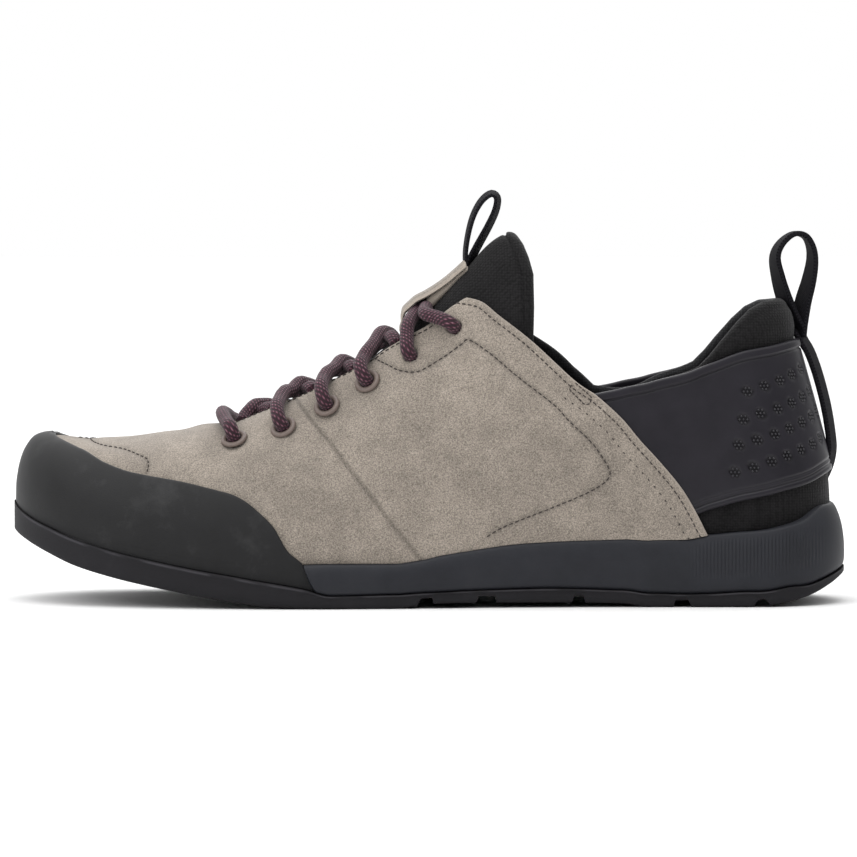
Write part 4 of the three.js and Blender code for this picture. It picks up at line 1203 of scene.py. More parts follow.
def make_rand():
    """The rubber rand and toe cap, over the suede down to the outsole."""
    half = np.linspace(0, 1, 180)
    front = 1 - (1 - 0.629) * (1 - half) ** 1.9
    signed = np.concatenate([front, front[::-1][1:]])
    side = np.concatenate([np.ones(180), -np.ones(179)])
    rows = fine_ends(64, 1 / 30)
    top = rand_edge(signed) * local_height(signed)
    crown = upper["crown"](signed) * local_height(signed)
    over = signed > RAND_CLOSED
    top = np.where(over, crown, np.minimum(top, crown))
    bottom = outsole_top(form_x(signed)) + GAP - foot_line(form_x(signed))
    lift = bottom[None] + rows[:, None] * (top - bottom)[None]
    station = np.broadcast_to(signed, lift.shape)
    share = np.clip(lift / crown[None], 0, 1)
    outer_side = np.broadcast_to(side > 0, lift.shape)
    angle = side_angle(station, share, outer_side)
    base = form_point(station, angle)
    normal = form_normal(station, angle)
    low = lift < 0
    foot_angle = np.where(outer_side, 0.0, np.pi)
    foot = form_point(station, foot_angle)
    foot_normal = form_normal(station, foot_angle)
    blend = smoothstep(lift, 0, 1.5)[..., None]
    normal = normal * blend + foot_normal * (1 - blend)
    base = np.where(low[..., None], np.stack([foot[..., 0], foot[..., 1], foot[..., 2] + lift], -1), base)
    from_top = (1 - rows)[:, None] * (top - bottom)[None]
    from_top = np.where(over[None], FAR, from_top)
    from_rear = from_ends(base, 1)
    out = np.full(lift.shape, SUEDE + GAP + RAND)
    out += 0.12 * np.sin(station * 60) * np.sin(lift / 7)
    edge = np.minimum(from_top, from_rear)
    outer, inner = round_edge(out, np.full(out.shape, SUEDE - 0.3), edge)
    points_out, points_in = moved_out(base, normal, outer, inner)
    for points in (points_out, points_in):
        floor = outsole_top(points[..., 0]) + GAP * 0.5
        points[..., 2] = np.maximum(points[..., 2], floor)
    return panel("toe_rand_rubber", points_out, points_in, [finish_of("rand_rubber")])


def sole_outline(front, count):
    """Plan points and outward directions round the heel from the outer side's front to the inner side's."""
    u = np.sign(np.linspace(-1, 1, 4001)) * np.abs(np.linspace(-1, 1, 4001)) ** 2 * front
    x = sole_x(np.abs(u))
    y = axis_y(x) + np.where(u > 0, sole_half(np.abs(u), 1), -sole_half(np.abs(u), -1))
    path = np.stack([x, y], -1)[::-1]
    path = resample(path, count=count, smooth=False)
    ahead = np.gradient(path, axis=0)
    out = np.stack([ahead[:, 1], -ahead[:, 0]], -1)
    out /= np.linalg.norm(out, axis=1, keepdims=True)
    if out[count // 2, 0] > 0:
        out = -out
    return path, out


# How far the top of the foam draws in behind the heel
HEEL_TUCK = 2.6


def make_midsole():
    """The foam cup behind the rand: a moulded wall with a soft top lip and fine ribs at the heel."""
    path, out = sole_outline(0.672, 620)
    x = path[:, 0]
    low, high = outsole_top(x) + GAP * 0.6, foot_line(x) - GAP * 0.5
    rise = high - low
    profile = table("share step", [
        [0.00, -0.90], [0.04, -0.25], [0.10, 0.05], [0.25, 0.25], [0.45, 0.38], [0.62, 0.32],
        [0.78, 0.00], [0.88, -0.40], [0.94, -0.75], [0.98, -1.15], [1.00, -1.70],
    ])
    share = np.concatenate([np.linspace(0, 0.1, 5), np.linspace(0.14, 0.86, 20), np.linspace(0.89, 1, 7)])
    step = reader(profile, "step", "share")(share)
    band = smoothstep(-x, 84, 100)[None] * (1 - smoothstep(-x, 122, 134))[None]
    band = band * (smoothstep(share, 0.2, 0.4) * (1 - smoothstep(share, 0.75, 0.95)))[:, None]
    steps = step[:, None] - HEEL_TUCK * smoothstep(-x, 118, 136)[None] * share[:, None] ** 2
    heights = low[None] + rise[None] * share[:, None]
    wall = np.concatenate([path[None] + out[None] * steps[..., None], heights[..., None]], -1)
    inset = np.concatenate([path - out * 9.0, high[:, None] - 0.05], -1)[None]
    inset_low = np.concatenate([path - out * 9.0, low[:, None]], -1)[None]
    over_foot = wall[..., 2] - foot_line(wall[..., 0])
    limit = form_x(np.interp(over_foot, [-12, -6, 0.3], [0.630, 0.641, RAND_REAR])) - 0.2
    wall[..., 0] = np.minimum(wall[..., 0], limit)
    front = form_x(RAND_REAR) - 0.4
    for part in (inset, inset_low):
        part[..., 0] = np.minimum(part[..., 0], front)
    outer = np.concatenate([wall, inset])
    inner = np.concatenate([np.repeat(inset_low, len(wall), 0), inset_low])
    share = np.linspace(0, 1, len(inner))[:, None]
    inner[..., 2] = share * (inset[..., 2] - inset_low[..., 2]) + inset_low[..., 2]
    ribbed = np.concatenate([band, band[-1:]])
    return panel("midsole_foam", outer, inner, [finish_of("eva_foam")], {"ribbed": ribbed})


TREAD_GROOVES = table("along wide across", [
    [0.104, 3.5, 1.2], [0.134, 4.0, 0.70], [0.165, 4.0, 0.72], [0.199, 5.0, 1.2],
    [0.322, 3.5, 1.2], [0.431, 6.0, 1.2], [0.503, 4.5, 1.2], [0.545, 4.5, 0.78], [0.582, 4.5, 0.80],
    [0.619, 4.5, 0.82], [0.656, 4.5, 0.82], [0.693, 4.5, 0.82], [0.730, 4.5, 0.80], [0.767, 4.5, 0.76],
])


def tread_cut(x, y):
    """Depth of the tread at a place under the shoe, in millimetres."""
    along = x / SHOE_LENGTH + 0.5
    centre = axis_y(x)
    half = np.where(y > centre, sole_half(along, 1), sole_half(along, -1))
    offset = np.abs(y - centre)
    depth = np.zeros(np.broadcast(x, y).shape)
    for place, wide, across in zip(*TREAD_GROOVES.values()):
        beside = np.abs(x - sole_x(place))
        reach = across * half if across < 1 else half + 9
        walls = 1 - smoothstep(beside, wide / 2 - 0.3, wide / 2 + 0.4)
        depth = np.maximum(depth, TREAD_DEPTH * (walls * (1 - smoothstep(offset, reach - 0.8, reach))))
    for spread in (0.0, 0.42):
        beside = np.abs(offset - spread * half)
        in_field = smoothstep(along, 0.53, 0.55) * (1 - smoothstep(along, 0.80, 0.82))
        at_heel = smoothstep(along, 0.12, 0.13) * (1 - smoothstep(along, 0.18, 0.195))
        channel = (1 - smoothstep(beside, 0.7, 1.2)) * np.maximum(in_field, at_heel)
        depth = np.maximum(depth, 0.45 * TREAD_DEPTH * channel)
    fine = (np.sin(2 * np.pi * x / 3.2) * np.sin(2 * np.pi * y / 3.2) > 0.1) & (offset < half - 5)
    return depth + np.where(fine & (depth < 0.3), 0.25, 0)


def make_outsole():
    """The rubber outsole: its wall, rolled edge, toe spring, lugs and shallow stipple between them."""
    quarter = np.sin(np.linspace(0, np.pi / 2, 60))
    along = np.concatenate([0.16 * (1 - np.cos(np.linspace(0, np.pi / 2, 60))),
                            np.linspace(0.16, 0.80, 300)[1:-1], 0.80 + 0.20 * quarter])
    x = sole_x(along)
    low, high = tread_z(x), outsole_top(x)
    wall = table("share step", [
        [0.00, -1.3], [0.10, -0.5], [0.25, -0.05], [0.50, 0.10], [0.82, 0.10], [0.86, 0.35], [0.93, 0.50],
        [0.98, 0.35], [1.00, -0.20],
    ])
    rounded = end_round(along)

    def side_rows(side):
        rows = []
        for share, step in zip(*wall.values()):
            half = np.maximum(0, sole_half(along, side) + step * rounded)
            rows.append(np.stack([x, axis_y(x) + side * half, low + share * (high - low)], -1))
        return rows

    inset = wall["step"][0] * rounded
    base_out, base_in = (np.maximum(0, sole_half(along, side) + inset) for side in (1, -1))

    def lengthwise(places, level):
        return [np.stack([x, axis_y(x) + a * (base_out if a > 0 else base_in), level], -1) for a in places]

    bottom = lengthwise(np.linspace(1, -1, 110)[1:-1], low)
    top = lengthwise((-0.9, -0.5, 0, 0.5, 0.9), high)
    ring = np.stack([*side_rows(1)[::-1], *bottom, *side_rows(-1), *top], 1)
    under = np.zeros(ring.shape[1], bool)
    under[:len(ring[0]) - len(top)] = True
    cut = tread_z(ring[..., 0]) + tread_cut(ring[..., 0], ring[..., 1])
    raised = np.maximum(ring[..., 2], np.minimum(cut, high[:, None] - 1.2))
    ring[..., 2] = np.where(under[None], raised, ring[..., 2])
    rows, columns = ring.shape[:2]
    faces = grid_faces(rows, columns, closed=True)
    if volume_of(ring, faces) < 0:
        faces = faces[:, ::-1]
    # A painted highlight, broken along its length, on the row at the top lip of the outsole's wall on both
    # sides.
    highlight_row = len(wall["share"]) - 3
    painted_highlight = np.zeros((rows, columns))
    highlight_breaks = 0.7 * smoothstep(np.sin(x / 6) + np.sin(x / 2.3), -1.2, 0.6)
    for column in (len(wall["share"]) - 1 - highlight_row, len(wall["share"]) + len(bottom) + highlight_row):
        painted_highlight[:, column] = highlight_breaks
    return make_mesh("outsole_rubber", ring, faces.tolist(), [finish_of("tread_rubber")],
                     attributes={"painted_highlight": painted_highlight})


def make_insole():
    """The footbed, cupped a little round its edge."""
    along = (1 - np.cos(np.linspace(0, np.pi, 200))) / 2 * 0.996 + 0.002
    outer, inner = skin(along, 0.0, -WALL - GAP), skin(along, np.pi, -WALL - GAP)
    across = np.sin(np.linspace(-1, 1, 60) * np.pi / 2)[None, :, None]
    middle, reach = (outer + inner) / 2, (outer - inner) / 2
    top = middle[:, None] + reach[:, None] * across
    cup = 1.4 * np.abs(across[..., 0]) ** 6
    arch = 1.2 * np.exp(-((along - 0.38) / 0.12) ** 2)[:, None] * smoothstep(-across[..., 0], 0.2, 1)
    bottom = top.copy()
    top[..., 2] = foot_line(top[..., 0]) + INSOLE + cup + arch - 0.6
    bottom[..., 2] = foot_line(bottom[..., 0]) + 0.05
    return panel("footbed", top, bottom, [finish_of("footbed")])


TONGUE_WING = table("along up", [
    [0.369, 0.800], [0.376, 0.780], [0.400, 0.700], [0.450, 0.640], [0.540, 0.560], [0.620, 0.480],
    [0.700, 0.400], [0.775, 0.330],
])
TONGUE_BACK = table("up along", [
    [0.780, 0.376], [0.876, 0.370], [1.027, 0.369], [1.175, 0.370], [1.250, 0.376], [1.310, 0.383],
    [1.370, 0.394],
])
# How far the pad swells behind its rolled top
TONGUE_BULGE = 2.6


def make_tongue():
    """The padded tongue: one cushioned sheet over the instep with a rolled top and a seam inside it."""
    wing = line_read(TONGUE_WING, "along", "up")
    back = line_read(TONGUE_BACK, "up", "along")
    across = np.linspace(1, -1, 150)[None, :]
    front_to_back = fine_ends(190, 1 / 112, near=(0, 0.2, 0.5, 1.0, 1.6))[:, None]
    station = 0.775 + (0.38 - 0.775) * front_to_back * np.ones_like(across)
    for _ in range(12):
        crown = upper["crown"](station)
        wing_outer = angle_of(station, wing(station) / crown, 1)
        wing_inner = angle_of(station, wing(station) / crown, -1)
        angle = np.where(across > 0, np.pi / 2 + (wing_outer - np.pi / 2) * across,
                         np.pi / 2 - (wing_inner - np.pi / 2) * across)
        up = (form_point(station, angle)[..., 2] - foot_line(form_x(station))) / local_height(station)
        station = 0.5 * station + 0.5 * (0.775 + (back(up) - 0.775) * front_to_back)
    base = form_point(station, angle)
    normal = form_normal(station, angle)
    from_back = run_lengths(base[::-1], 0)[::-1]
    from_front = run_lengths(base, 0)
    from_wing = from_ends(base, 1)
    thick = TONGUE_PAD * (0.35 + 0.65 * smoothstep(from_front, 4, 34))
    thick = thick * (0.35 + 0.65 * smoothstep(from_wing, 2, 16))
    outer = np.full(station.shape, -WALL - GAP - 0.05)
    outer += TONGUE_BULGE * smoothstep(-from_back, -22, -5) * smoothstep(from_wing, 6, 22)
    outer += 0.3 * (1 - smoothstep(from_back, 3.2, 3.8)) * smoothstep(up, 0.8, 0.95)
    outer -= 0.7 * np.exp(-((from_back - 3.9) / 0.5) ** 2) * smoothstep(up, 0.8, 0.95)
    inner = -WALL - GAP - thick + 0.4 * np.sin(from_back * np.pi / 9) ** 2 * smoothstep(from_wing, 4, 12)
    edge = np.minimum(np.minimum(from_back, from_front), from_wing)
    outer, inner = round_edge(outer, inner, edge)
    points_out, points_in = moved_out(base, normal, outer, inner)
    tongue = panel("tongue_pad", points_out, points_in, [finish_of("knit"), finish_of("lining")])
    return tongue


KEEPER_ROWS = table("along bow", [
    [0.452, 0.06], [0.462, 0.06], [0.470, 0.12], [0.478, 0.26], [0.485, 0.44], [0.492, 0.64],
    [0.505, 0.94], [0.517, 0.92], [0.524, 0.62], [0.529, 0.22], [0.534, 0.00],
])


def keeper_leaf(name, first, last, low_of, high_of, half):
    """A suede strip over the tongue, between two places along it and two heights over the last."""
    along = np.linspace(first, last, 90)[:, None]
    across = np.linspace(1, -1, 36)[None, :]
    angle = angle_at(along + 0 * across, across * half + 0 * along)
    station = along + 0 * across
    base, normal = form_point(station, angle), form_normal(station, angle)
    from_side_edge = from_ends(base, 1)
    edge = np.minimum(from_side_edge, from_ends(base, 0))
    channel = 0.25 * np.exp(-((from_side_edge - 1.6) / 0.5) ** 2)
    outer, inner = round_edge(high_of(station) - channel, low_of(station), edge)
    points_out, points_in = moved_out(base, normal, outer, inner)
    cut = 1 - smoothstep(edge, 0.3, 1.0)
    # The whole strip is darkened evenly through the seam mask, which marks no seam here.
    marks = {"cut": cut, "seam": np.full(cut.shape, 0.3)}
    return panel(name, points_out, points_in, [finish_of("buffed_suede")], marks, back=0)


def make_keeper():
    """The suede strip bowed up over the lace, and its lower leaf on the tongue."""
    seat = -WALL - GAP
    bow = reader(KEEPER_ROWS, "bow")

    def under(station):
        return seat + 3 * GAP + bow(station) * (LACE_SOLID + 2 * GAP)

    def over(station):
        return under(station) + KEEPER * 0.85

    def leaf_top(station):
        return np.minimum(under(station), seat + 4.0)

    def leaf_foot(station):
        return seat - 0.1 + 0 * station

    upper_leaf = keeper_leaf("keeper_strip", 0.452, 0.534, under, over, 0.080 * BALL_WIDTH)
    lower_leaf = keeper_leaf("keeper_leaf", 0.453, 0.498, leaf_foot, leaf_top, 0.076 * BALL_WIDTH)
    return upper_leaf, lower_leaf


HEEL_LOOP = [
    [0.040, 0.830], [0.050, 0.910], [0.059, 1.000], [0.066, 1.094], [0.070, 1.186], [0.063, 1.243],
    [0.048, 1.275], [0.034, 1.255], [0.026, 1.195], [0.024, 1.125], [0.028, 1.044], [0.035, 0.960],
    [0.040, 0.870], [0.042, 0.810],
]
HEEL_TAIL = [
    [0.046, 0.850], [0.040, 0.821], [0.034, 0.777], [0.026, 0.712], [0.016, 0.588], [0.006, 0.427],
    [0.000, 0.281], [0.000, 0.218], [0.004, 0.161], [0.013, 0.105],
]
TONGUE_LOOP = [
    [0.452, 1.190], [0.452, 1.296], [0.445, 1.415], [0.434, 1.490], [0.421, 1.522], [0.413, 1.500],
    [0.415, 1.446], [0.424, 1.379], [0.437, 1.301], [0.446, 1.240], [0.449, 1.195],
]


# Points round a tape's section
TAPE_SIDES = 32


def webbing(points, sideways, width, thickness, twist):
    """Points, faces and run coordinates of a flat woven tape, turned at its start and its end by twist."""
    line = resample(side_mm(points), spacing=0.8)
    path = np.stack([line[:, 0], np.full(len(line), sideways), line[:, 1]], -1)
    run = run_lengths(path[None], 1)[0]
    ahead = np.gradient(path, axis=0)
    ahead /= np.linalg.norm(ahead, axis=1, keepdims=True)
    normal = np.stack([-ahead[:, 2], 0 * run, ahead[:, 0]], -1)
    turn = (twist[0] + (twist[1] - twist[0]) * smoothstep(run / run[-1], 0, 1))[:, None]
    side = np.array([0.0, 1.0, 0.0])
    across = side * np.cos(turn) + normal * np.sin(turn)
    through = normal * np.cos(turn) - side * np.sin(turn)
    around = np.linspace(0, 2 * np.pi, TAPE_SIDES + 1)
    wide = np.sign(np.cos(around)) * np.abs(np.cos(around)) ** 0.35
    deep = np.sign(np.sin(around)) * np.abs(np.sin(around)) ** 0.7
    selvedge = 1 + 0.25 * np.exp(-((np.abs(wide) - 0.9) / 0.08) ** 2)
    ring = (across[:, None] * (wide * width / 2)[None, :, None]
            + through[:, None] * (deep * selvedge * thickness / 2)[None, :, None])
    grid = path[:, None] + ring
    uv = np.stack(np.broadcast_arrays(run[:, None], (wide * width / 2)[None]), -1)
    faces = grid_faces(len(path), TAPE_SIDES + 1).tolist()
    last = (len(path) - 1) * (TAPE_SIDES + 1)
    ends = [list(range(TAPE_SIDES))[::-1], [last + k for k in range(TAPE_SIDES)]]
    return grid.reshape(-1, 3), faces + ends, uv.reshape(-1, 2)


# How far each tape turns about its own run, at its start and its end, in radians
HEEL_LOOP_TWIST = (0.56, -0.58)
HEEL_TAIL_TWIST = (0.30, 0.30)
TONGUE_LOOP_TWIST = (0.10, 0.32)


def make_heel_pull():
    """The tape of the heel: the loop over it, and the tail down its back."""
    loop = webbing(HEEL_LOOP, 0, WEBBING_WIDTH, WEBBING_THICKNESS, HEEL_LOOP_TWIST)
    tail = webbing(HEEL_TAIL, 0, WEBBING_WIDTH, WEBBING_THICKNESS, HEEL_TAIL_TWIST)
    return joined("heel_pull_tape", [loop, tail], [finish_of("tape")])


def make_tongue_loop():
    """The thin tape sewn in a loop to the tongue's top."""
    place = float(axis_y(form_x(TONGUE_LOOP[0][0])))
    tape = webbing(TONGUE_LOOP, place, LOOP_WIDTH, LOOP_THICKNESS, TONGUE_LOOP_TWIST)
    return joined("tongue_loop_tape", [tape], [finish_of("tape")])


def to_hole(points, row, side):
    """Points turned to stand on a lace hole, out along the form's normal."""
    station, angle = lace_hole(row, side)
    centre, up = skin(station, angle, SUEDE), form_normal(station, angle)
    turn = np.array(Vector((0, 0, 1)).rotation_difference(Vector(up)).to_matrix())
    return points @ turn.T + centre


def make_eyelet(row, side):
    """A rolled metal ring, painted, set in the suede with its barrel through the wall."""
    bore, flange = EYELET_BORE / 2, EYELET_FLANGE / 2
    roll = np.linspace(0, np.pi, 12)
    crown_r = (flange + bore) / 2 - np.cos(roll) * (flange - bore) / 2
    crown_z = 0.15 + 1.0 * np.sin(roll) ** 0.8
    barrel = [(bore, -2.2), (bore + 0.25, -2.2), (bore + 0.45, 0.1)]
    profile = np.array([*barrel, (flange - 0.3, 0.1), *zip(crown_r[::-1], crown_z[::-1])])
    sides = 40
    turn = 2 * np.pi * np.arange(sides) / sides
    radius, height = profile[:, 0][None], profile[:, 1][None]
    grid = np.stack([radius * np.cos(turn)[:, None], radius * np.sin(turn)[:, None],
                     height + 0 * turn[:, None]], -1)
    points = to_hole(grid.reshape(-1, 3), row, side)
    count = len(profile)
    i, j = np.arange(sides)[:, None], np.arange(count)[None, :]
    a, b = i * count + j, i * count + (j + 1) % count
    c, d = ((i + 1) % sides) * count + (j + 1) % count, ((i + 1) % sides) * count + j
    faces = np.stack(np.broadcast_arrays(a, b, c, d), -1).reshape(-1, 4)
    if volume_of(points, faces) < 0:
        faces = faces[:, ::-1]
    hand = "outer" if side > 0 else "inner"
    return make_mesh(f"ring_{hand}_{row + 1}", points, faces.tolist(), [finish_of("ring")])


LACE_R = LACE_SOLID / 2
OVER_EYELET = SUEDE + 2 * GAP + EYELET_RING + 3 * GAP + LACE_R
OVER_SUEDE = SUEDE + LACE_R + 2 * GAP
OVER_TONGUE = -WALL + LACE_R

# Strands as stops from one row towards the next. share: how far towards the next row. across: sideways,
# where 1 is the throat's edge here and 2 the hole's line. lift: above the last's form.
OVER_EDGE = [
    [0.00, 2.00, -2.5], [0.00, 2.00, 1.5], [-0.01, 1.97, OVER_EYELET - 0.4],
    [-0.02, 1.70, OVER_EYELET + 0.5], [0.00, 1.35, OVER_SUEDE + 0.5], [0.08, 1.00, OVER_SUEDE - 0.3],
    [0.22, 0.55, OVER_TONGUE + 1.2],
    [0.40, 0.00, OVER_TONGUE + 0.4], [0.52, -0.45, OVER_TONGUE + 0.1], [0.60, -0.75, OVER_TONGUE + 0.1],
    [0.66, -1.00, OVER_TONGUE - 0.6],
]
IN_THROAT = [
    [0.13, 0.95, OVER_TONGUE - 0.5], [0.20, 0.62, OVER_TONGUE + 0.3], [0.32, 0.35, OVER_TONGUE + 0.6],
    [0.44, 0.00, OVER_TONGUE + 0.6], [0.56, -0.35, OVER_TONGUE + 0.6], [0.68, -0.62, OVER_TONGUE + 0.3],
    [0.76, -0.95, OVER_TONGUE - 0.5],
]
UNDER_KEEPER = [
    [0.00, 2.00, -2.5], [0.00, 2.00, 1.5], [0.00, 1.92, OVER_SUEDE], [0.01, 1.40, OVER_SUEDE],
    [0.06, 0.92, OVER_SUEDE - 0.3], [0.15, 0.45, OVER_TONGUE + 0.3], [0.25, 0.00, OVER_TONGUE + 0.3],
    [0.35, -0.45, OVER_TONGUE + 0.3], [0.46, -0.92, OVER_SUEDE - 0.3], [0.75, -1.45, OVER_SUEDE],
    [0.96, -1.92, OVER_SUEDE], [1.00, -2.00, 1.5], [1.00, -2.00, -2.5],
]


# The bar's stops from the outer hole to the middle: sideways share of the hole's place, and lift
BAR_STOPS = [
    (1.0, -2.5), (1.0, 1.5), (0.97, OVER_EYELET + 0.2), (0.72, OVER_SUEDE + 0.5), (0.4, OVER_SUEDE + 0.2),
    (0, OVER_SUEDE + 0.2),
]
# Lift of the two strands where they cross, less where the keeper lies over them
RISES = (1.7, -1.5)
LOW_RISES = (1.1, -1.6)


def strand_path(stops, row, side, rise):
    """A strand's centre line; rise lifts it where it crosses over the other strand."""
    share, across, lift = np.array(stops).T
    ends = {key: LACE_ROWS[key][row:row + 2] for key in ("along", "out")}
    along, out = (ends[key][0] + (ends[key][1] - ends[key][0]) * share for key in ("along", "out"))
    hand = side * np.sign(across)
    edge = BALL_WIDTH * throat_half(along)
    within = np.minimum(np.abs(across), 1)
    angle = angle_at(along, hand * within * edge)
    hole = angle_at(along, out * BALL_WIDTH)
    hole = np.where(hand < 0, np.pi - hole, hole)
    angle = angle + (hole - angle) * np.maximum(np.abs(across) - 1, 0)
    return resample(skin(along, angle, lift + rise * np.exp(-(across / 0.5) ** 2)), spacing=0.7)


def make_lace():
    """The braided lace: its bar, and its strands through the eyelets and over the tongue."""
    radius = size("lace_radius")
    pieces = []
    last_row = len(LACE_ROWS["along"]) - 2
    for row in range(last_row + 1):
        stops = {0: IN_THROAT, last_row: UNDER_KEEPER}.get(row, OVER_EDGE)
        rises = LOW_RISES if stops is UNDER_KEEPER else RISES
        parts = [tube(strand_path(stops, row, side, rise), radius) for side, rise in zip((1, -1), rises)]
        pieces.append(joined(f"lace_strands_{row + 1}", parts, [finish_of("braid")]))
    row = LACE_ROWS["along"][0]
    reach = LACE_ROWS["out"][0] * BALL_WIDTH
    stops = BAR_STOPS + [(-share, lift) for share, lift in BAR_STOPS[-2::-1]]
    share, lift = np.array(stops).T
    along = row + 0.014 * (1 - share ** 2)
    angle = angle_at(along, np.abs(share) * reach)
    angle = np.where(share < 0, np.pi - angle, angle)
    path = resample(skin(along, angle, lift), spacing=0.7)
    pieces.append(joined("lace_bar_cord", [tube(path, radius)], [finish_of("braid")]))
    return pieces


# Stitches: how high they lie on the suede, how far in from the back edge its seam and its dots run, how far
# from the throat's edge, and the shares of the form's length between which the throat is sewn
STITCH_LIFT = 0.05
BACK_SEAM = 2.5
BACK_DOTS = 6.8
THROAT_SEAM = 1.3
THROAT_SEWN = (0.478, 0.748)
# One stitch from end to end: shares of its length, heights and shares of its thickness
STITCH_AT = np.array([0.0, 0.12, 0.5, 0.88, 1.0])
STITCH_ARCH = np.array([-0.35, 0.05, 0.16, 0.05, -0.35])
STITCH_THICK = np.array([0.5, 0.95, 1.0, 0.95, 0.5])


def stitch_run(line, lift, pitch=None, length=None):
    """Small threads along a line of points and outward directions, sunk at both ends."""
    pitch = pitch or size("stitch_pitch")
    length = length or size("stitch_length")
    points, normals = line
    run = run_lengths(points[None], 1)[0]
    parts = []
    for start in np.arange(0.4, run[-1] - length, pitch):
        at = start + length * STITCH_AT
        centre = np.stack([np.interp(at, run, column) for column in points.T], -1)
        out = np.stack([np.interp(at, run, column) for column in normals.T], -1)
        path = centre + out * (lift + STITCH_ARCH)[:, None]
        parts.append(tube(path, size("thread_radius") * STITCH_THICK, sides=6))
    return parts


def skin_line(points, side, shift=0.0, smooth=True):
    """A line of the side view laid on the suede, with its outward directions."""
    flat = resample(side_mm(points), spacing=0.8, smooth=smooth)
    if shift:
        ahead = np.gradient(flat, axis=0)
        ahead /= np.linalg.norm(ahead, axis=1, keepdims=True)
        flat = flat + np.stack([ahead[:, 1], -ahead[:, 0]], -1) * shift
    station, angle = from_side(flat[:, 0], flat[:, 1], side)
    base = form_point(station, angle)
    normal = form_normal(station, angle)
    return base + normal * suede_out(base)[:, None], normal


def make_stitches(side):
    """All the sewing of one side of the suede, joined."""
    hand = "outer" if side > 0 else "inner"
    parts = []
    for line in SUEDE_STITCHES:
        parts += stitch_run(skin_line(line, side), STITCH_LIFT)
    parts += stitch_run(skin_line(TAB_BOX, side, smooth=False), STITCH_LIFT, pitch=1.6, length=1.15)
    parts += stitch_run(skin_line(SUEDE_BACK, side, shift=BACK_SEAM), STITCH_LIFT)
    parts += stitch_run(skin_line(SUEDE_BACK[:8], side, shift=BACK_DOTS), 0.0, pitch=3.0, length=0.6)
    along = np.linspace(*THROAT_SEWN, 400)
    angle = angle_at(along, side * (BALL_WIDTH * throat_half(along) + THROAT_SEAM))
    base, normal = form_point(along, angle), form_normal(along, angle)
    parts += stitch_run((base + normal * suede_out(base)[:, None], normal), STITCH_LIFT)
    return joined(f"sewing_{hand}", parts, [finish_of("thread")])


# The stage
PICTURE_CENTRE = (0.0, 57.8)
PICTURE_WIDTH = 288.8
CAMERA_AWAY = 2200.0
CAMERA_RISE = 2.6
SENSOR = 36.0
# Walls of light: the axis, how much it adds, and where along the axis it starts, signed by its side
WALLS = (("Y", -0.75, 0.15), ("X", -0.95, -0.15), ("Z", 1.0, 0.15))


def soft_light(name, place, aim, energy, wide):
    light = bpy.data.lights.new(name, "AREA")
    light.energy, light.size = energy, wide
    made = bpy.data.objects.new(name, light)
    made.location = place
    made.rotation_euler = (Vector(aim) - Vector(place)).to_track_quat("-Z", "Y").to_euler()
    bpy.context.scene.collection.objects.link(made)
    return made


def light_by_direction(tree):
    """Strength of the studio's pale walls: less from the shoe's outer side and its back, more from above."""
    direction = node(tree, "ShaderNodeTexCoord").outputs["Generated"]
    apart = node(tree, "ShaderNodeSeparateXYZ", {"Vector": direction})
    strength = 1.0
    for axis, share, start in WALLS:
        turned = maths(tree, "MULTIPLY", apart.outputs[axis], math.copysign(1, start))
        facing = maths(tree, "MAXIMUM", maths(tree, "SUBTRACT", turned, abs(start)), 0.0)
        strength = maths(tree, "ADD", maths(tree, "MULTIPLY", facing, share), strength)
    return strength


def make_stage():
    """Camera, pale floor and soft studio light."""
    aim = Vector((PICTURE_CENTRE[0], SHIFT_Y, PICTURE_CENTRE[1])) * MM
    rise = math.radians(CAMERA_RISE)
    away = Vector((0, math.cos(rise), math.sin(rise))) * CAMERA_AWAY * MM
    lens = bpy.data.cameras.new("camera")
    lens.sensor_width = SENSOR
    lens.lens = SENSOR * CAMERA_AWAY / PICTURE_WIDTH
    camera = bpy.data.objects.new("camera", lens)
    camera.location = aim + away
    camera.rotation_euler = (-away).to_track_quat("-Z", "Y").to_euler()
    bpy.context.scene.collection.objects.link(camera)
    bpy.context.scene.camera = camera

    mesh = bpy.data.meshes.new("floor")
    reach = 6.0
    mesh.from_pydata([(-reach, -reach, 0), (reach, -reach, 0), (reach, reach, 0), (-reach, reach, 0)],
                     [], [(0, 1, 2, 3)])
    floor = bpy.data.objects.new("floor", mesh)
    bpy.context.scene.collection.objects.link(floor)
    colour = (*bpy.context.scene.shoe_colours.floor, 1)
    mesh.materials.append(plain_material("pale_paper_sweep", colour, 0.9, 3.0, 0.0, mottle=0.97))
    lights = [
        soft_light("overhead", (0.1, 0.2, 1.2), aim, 4.0, 1.0),
        soft_light("front_left", (1.0, 1.1, 1.0), aim, 5.0, 0.7),
        soft_light("front_right", (-1.0, 1.2, 0.6), aim, 0.4, 0.9),
        soft_light("behind", (-0.2, -1.1, 0.9), aim, 3.0, 0.7),
    ]
    world = bpy.data.worlds.new("studio")
    world.use_nodes = True
    tree = world.node_tree
    tree.nodes["Background"].inputs["Color"].default_value = (1, 1, 1, 1)
    tree.links.new(light_by_direction(tree), tree.nodes["Background"].inputs["Strength"])
    bpy.context.scene.world = world
    bpy.context.scene.view_settings.view_transform = "Standard"


# Operators, one for each piece or group of pieces
class SHOE_OT_suede(bpy.types.Operator):
    """Suede vamp and quarters, with their seams, creases and cut edges"""

    bl_idname = "shoe.suede"
    bl_label = "Suede"

    def execute(self, context):
        dress(make_suede(1), "suede", "upper")
        dress(make_suede(-1), "suede")
        return {"FINISHED"}


class SHOE_OT_sock(bpy.types.Operator):
    """Knitted heel with its padded collar and lining"""

    bl_idname = "shoe.sock"
    bl_label = "Knitted heel"

    def execute(self, context):
        dress(make_sock(), "mesh", "upper")
        return {"FINISHED"}


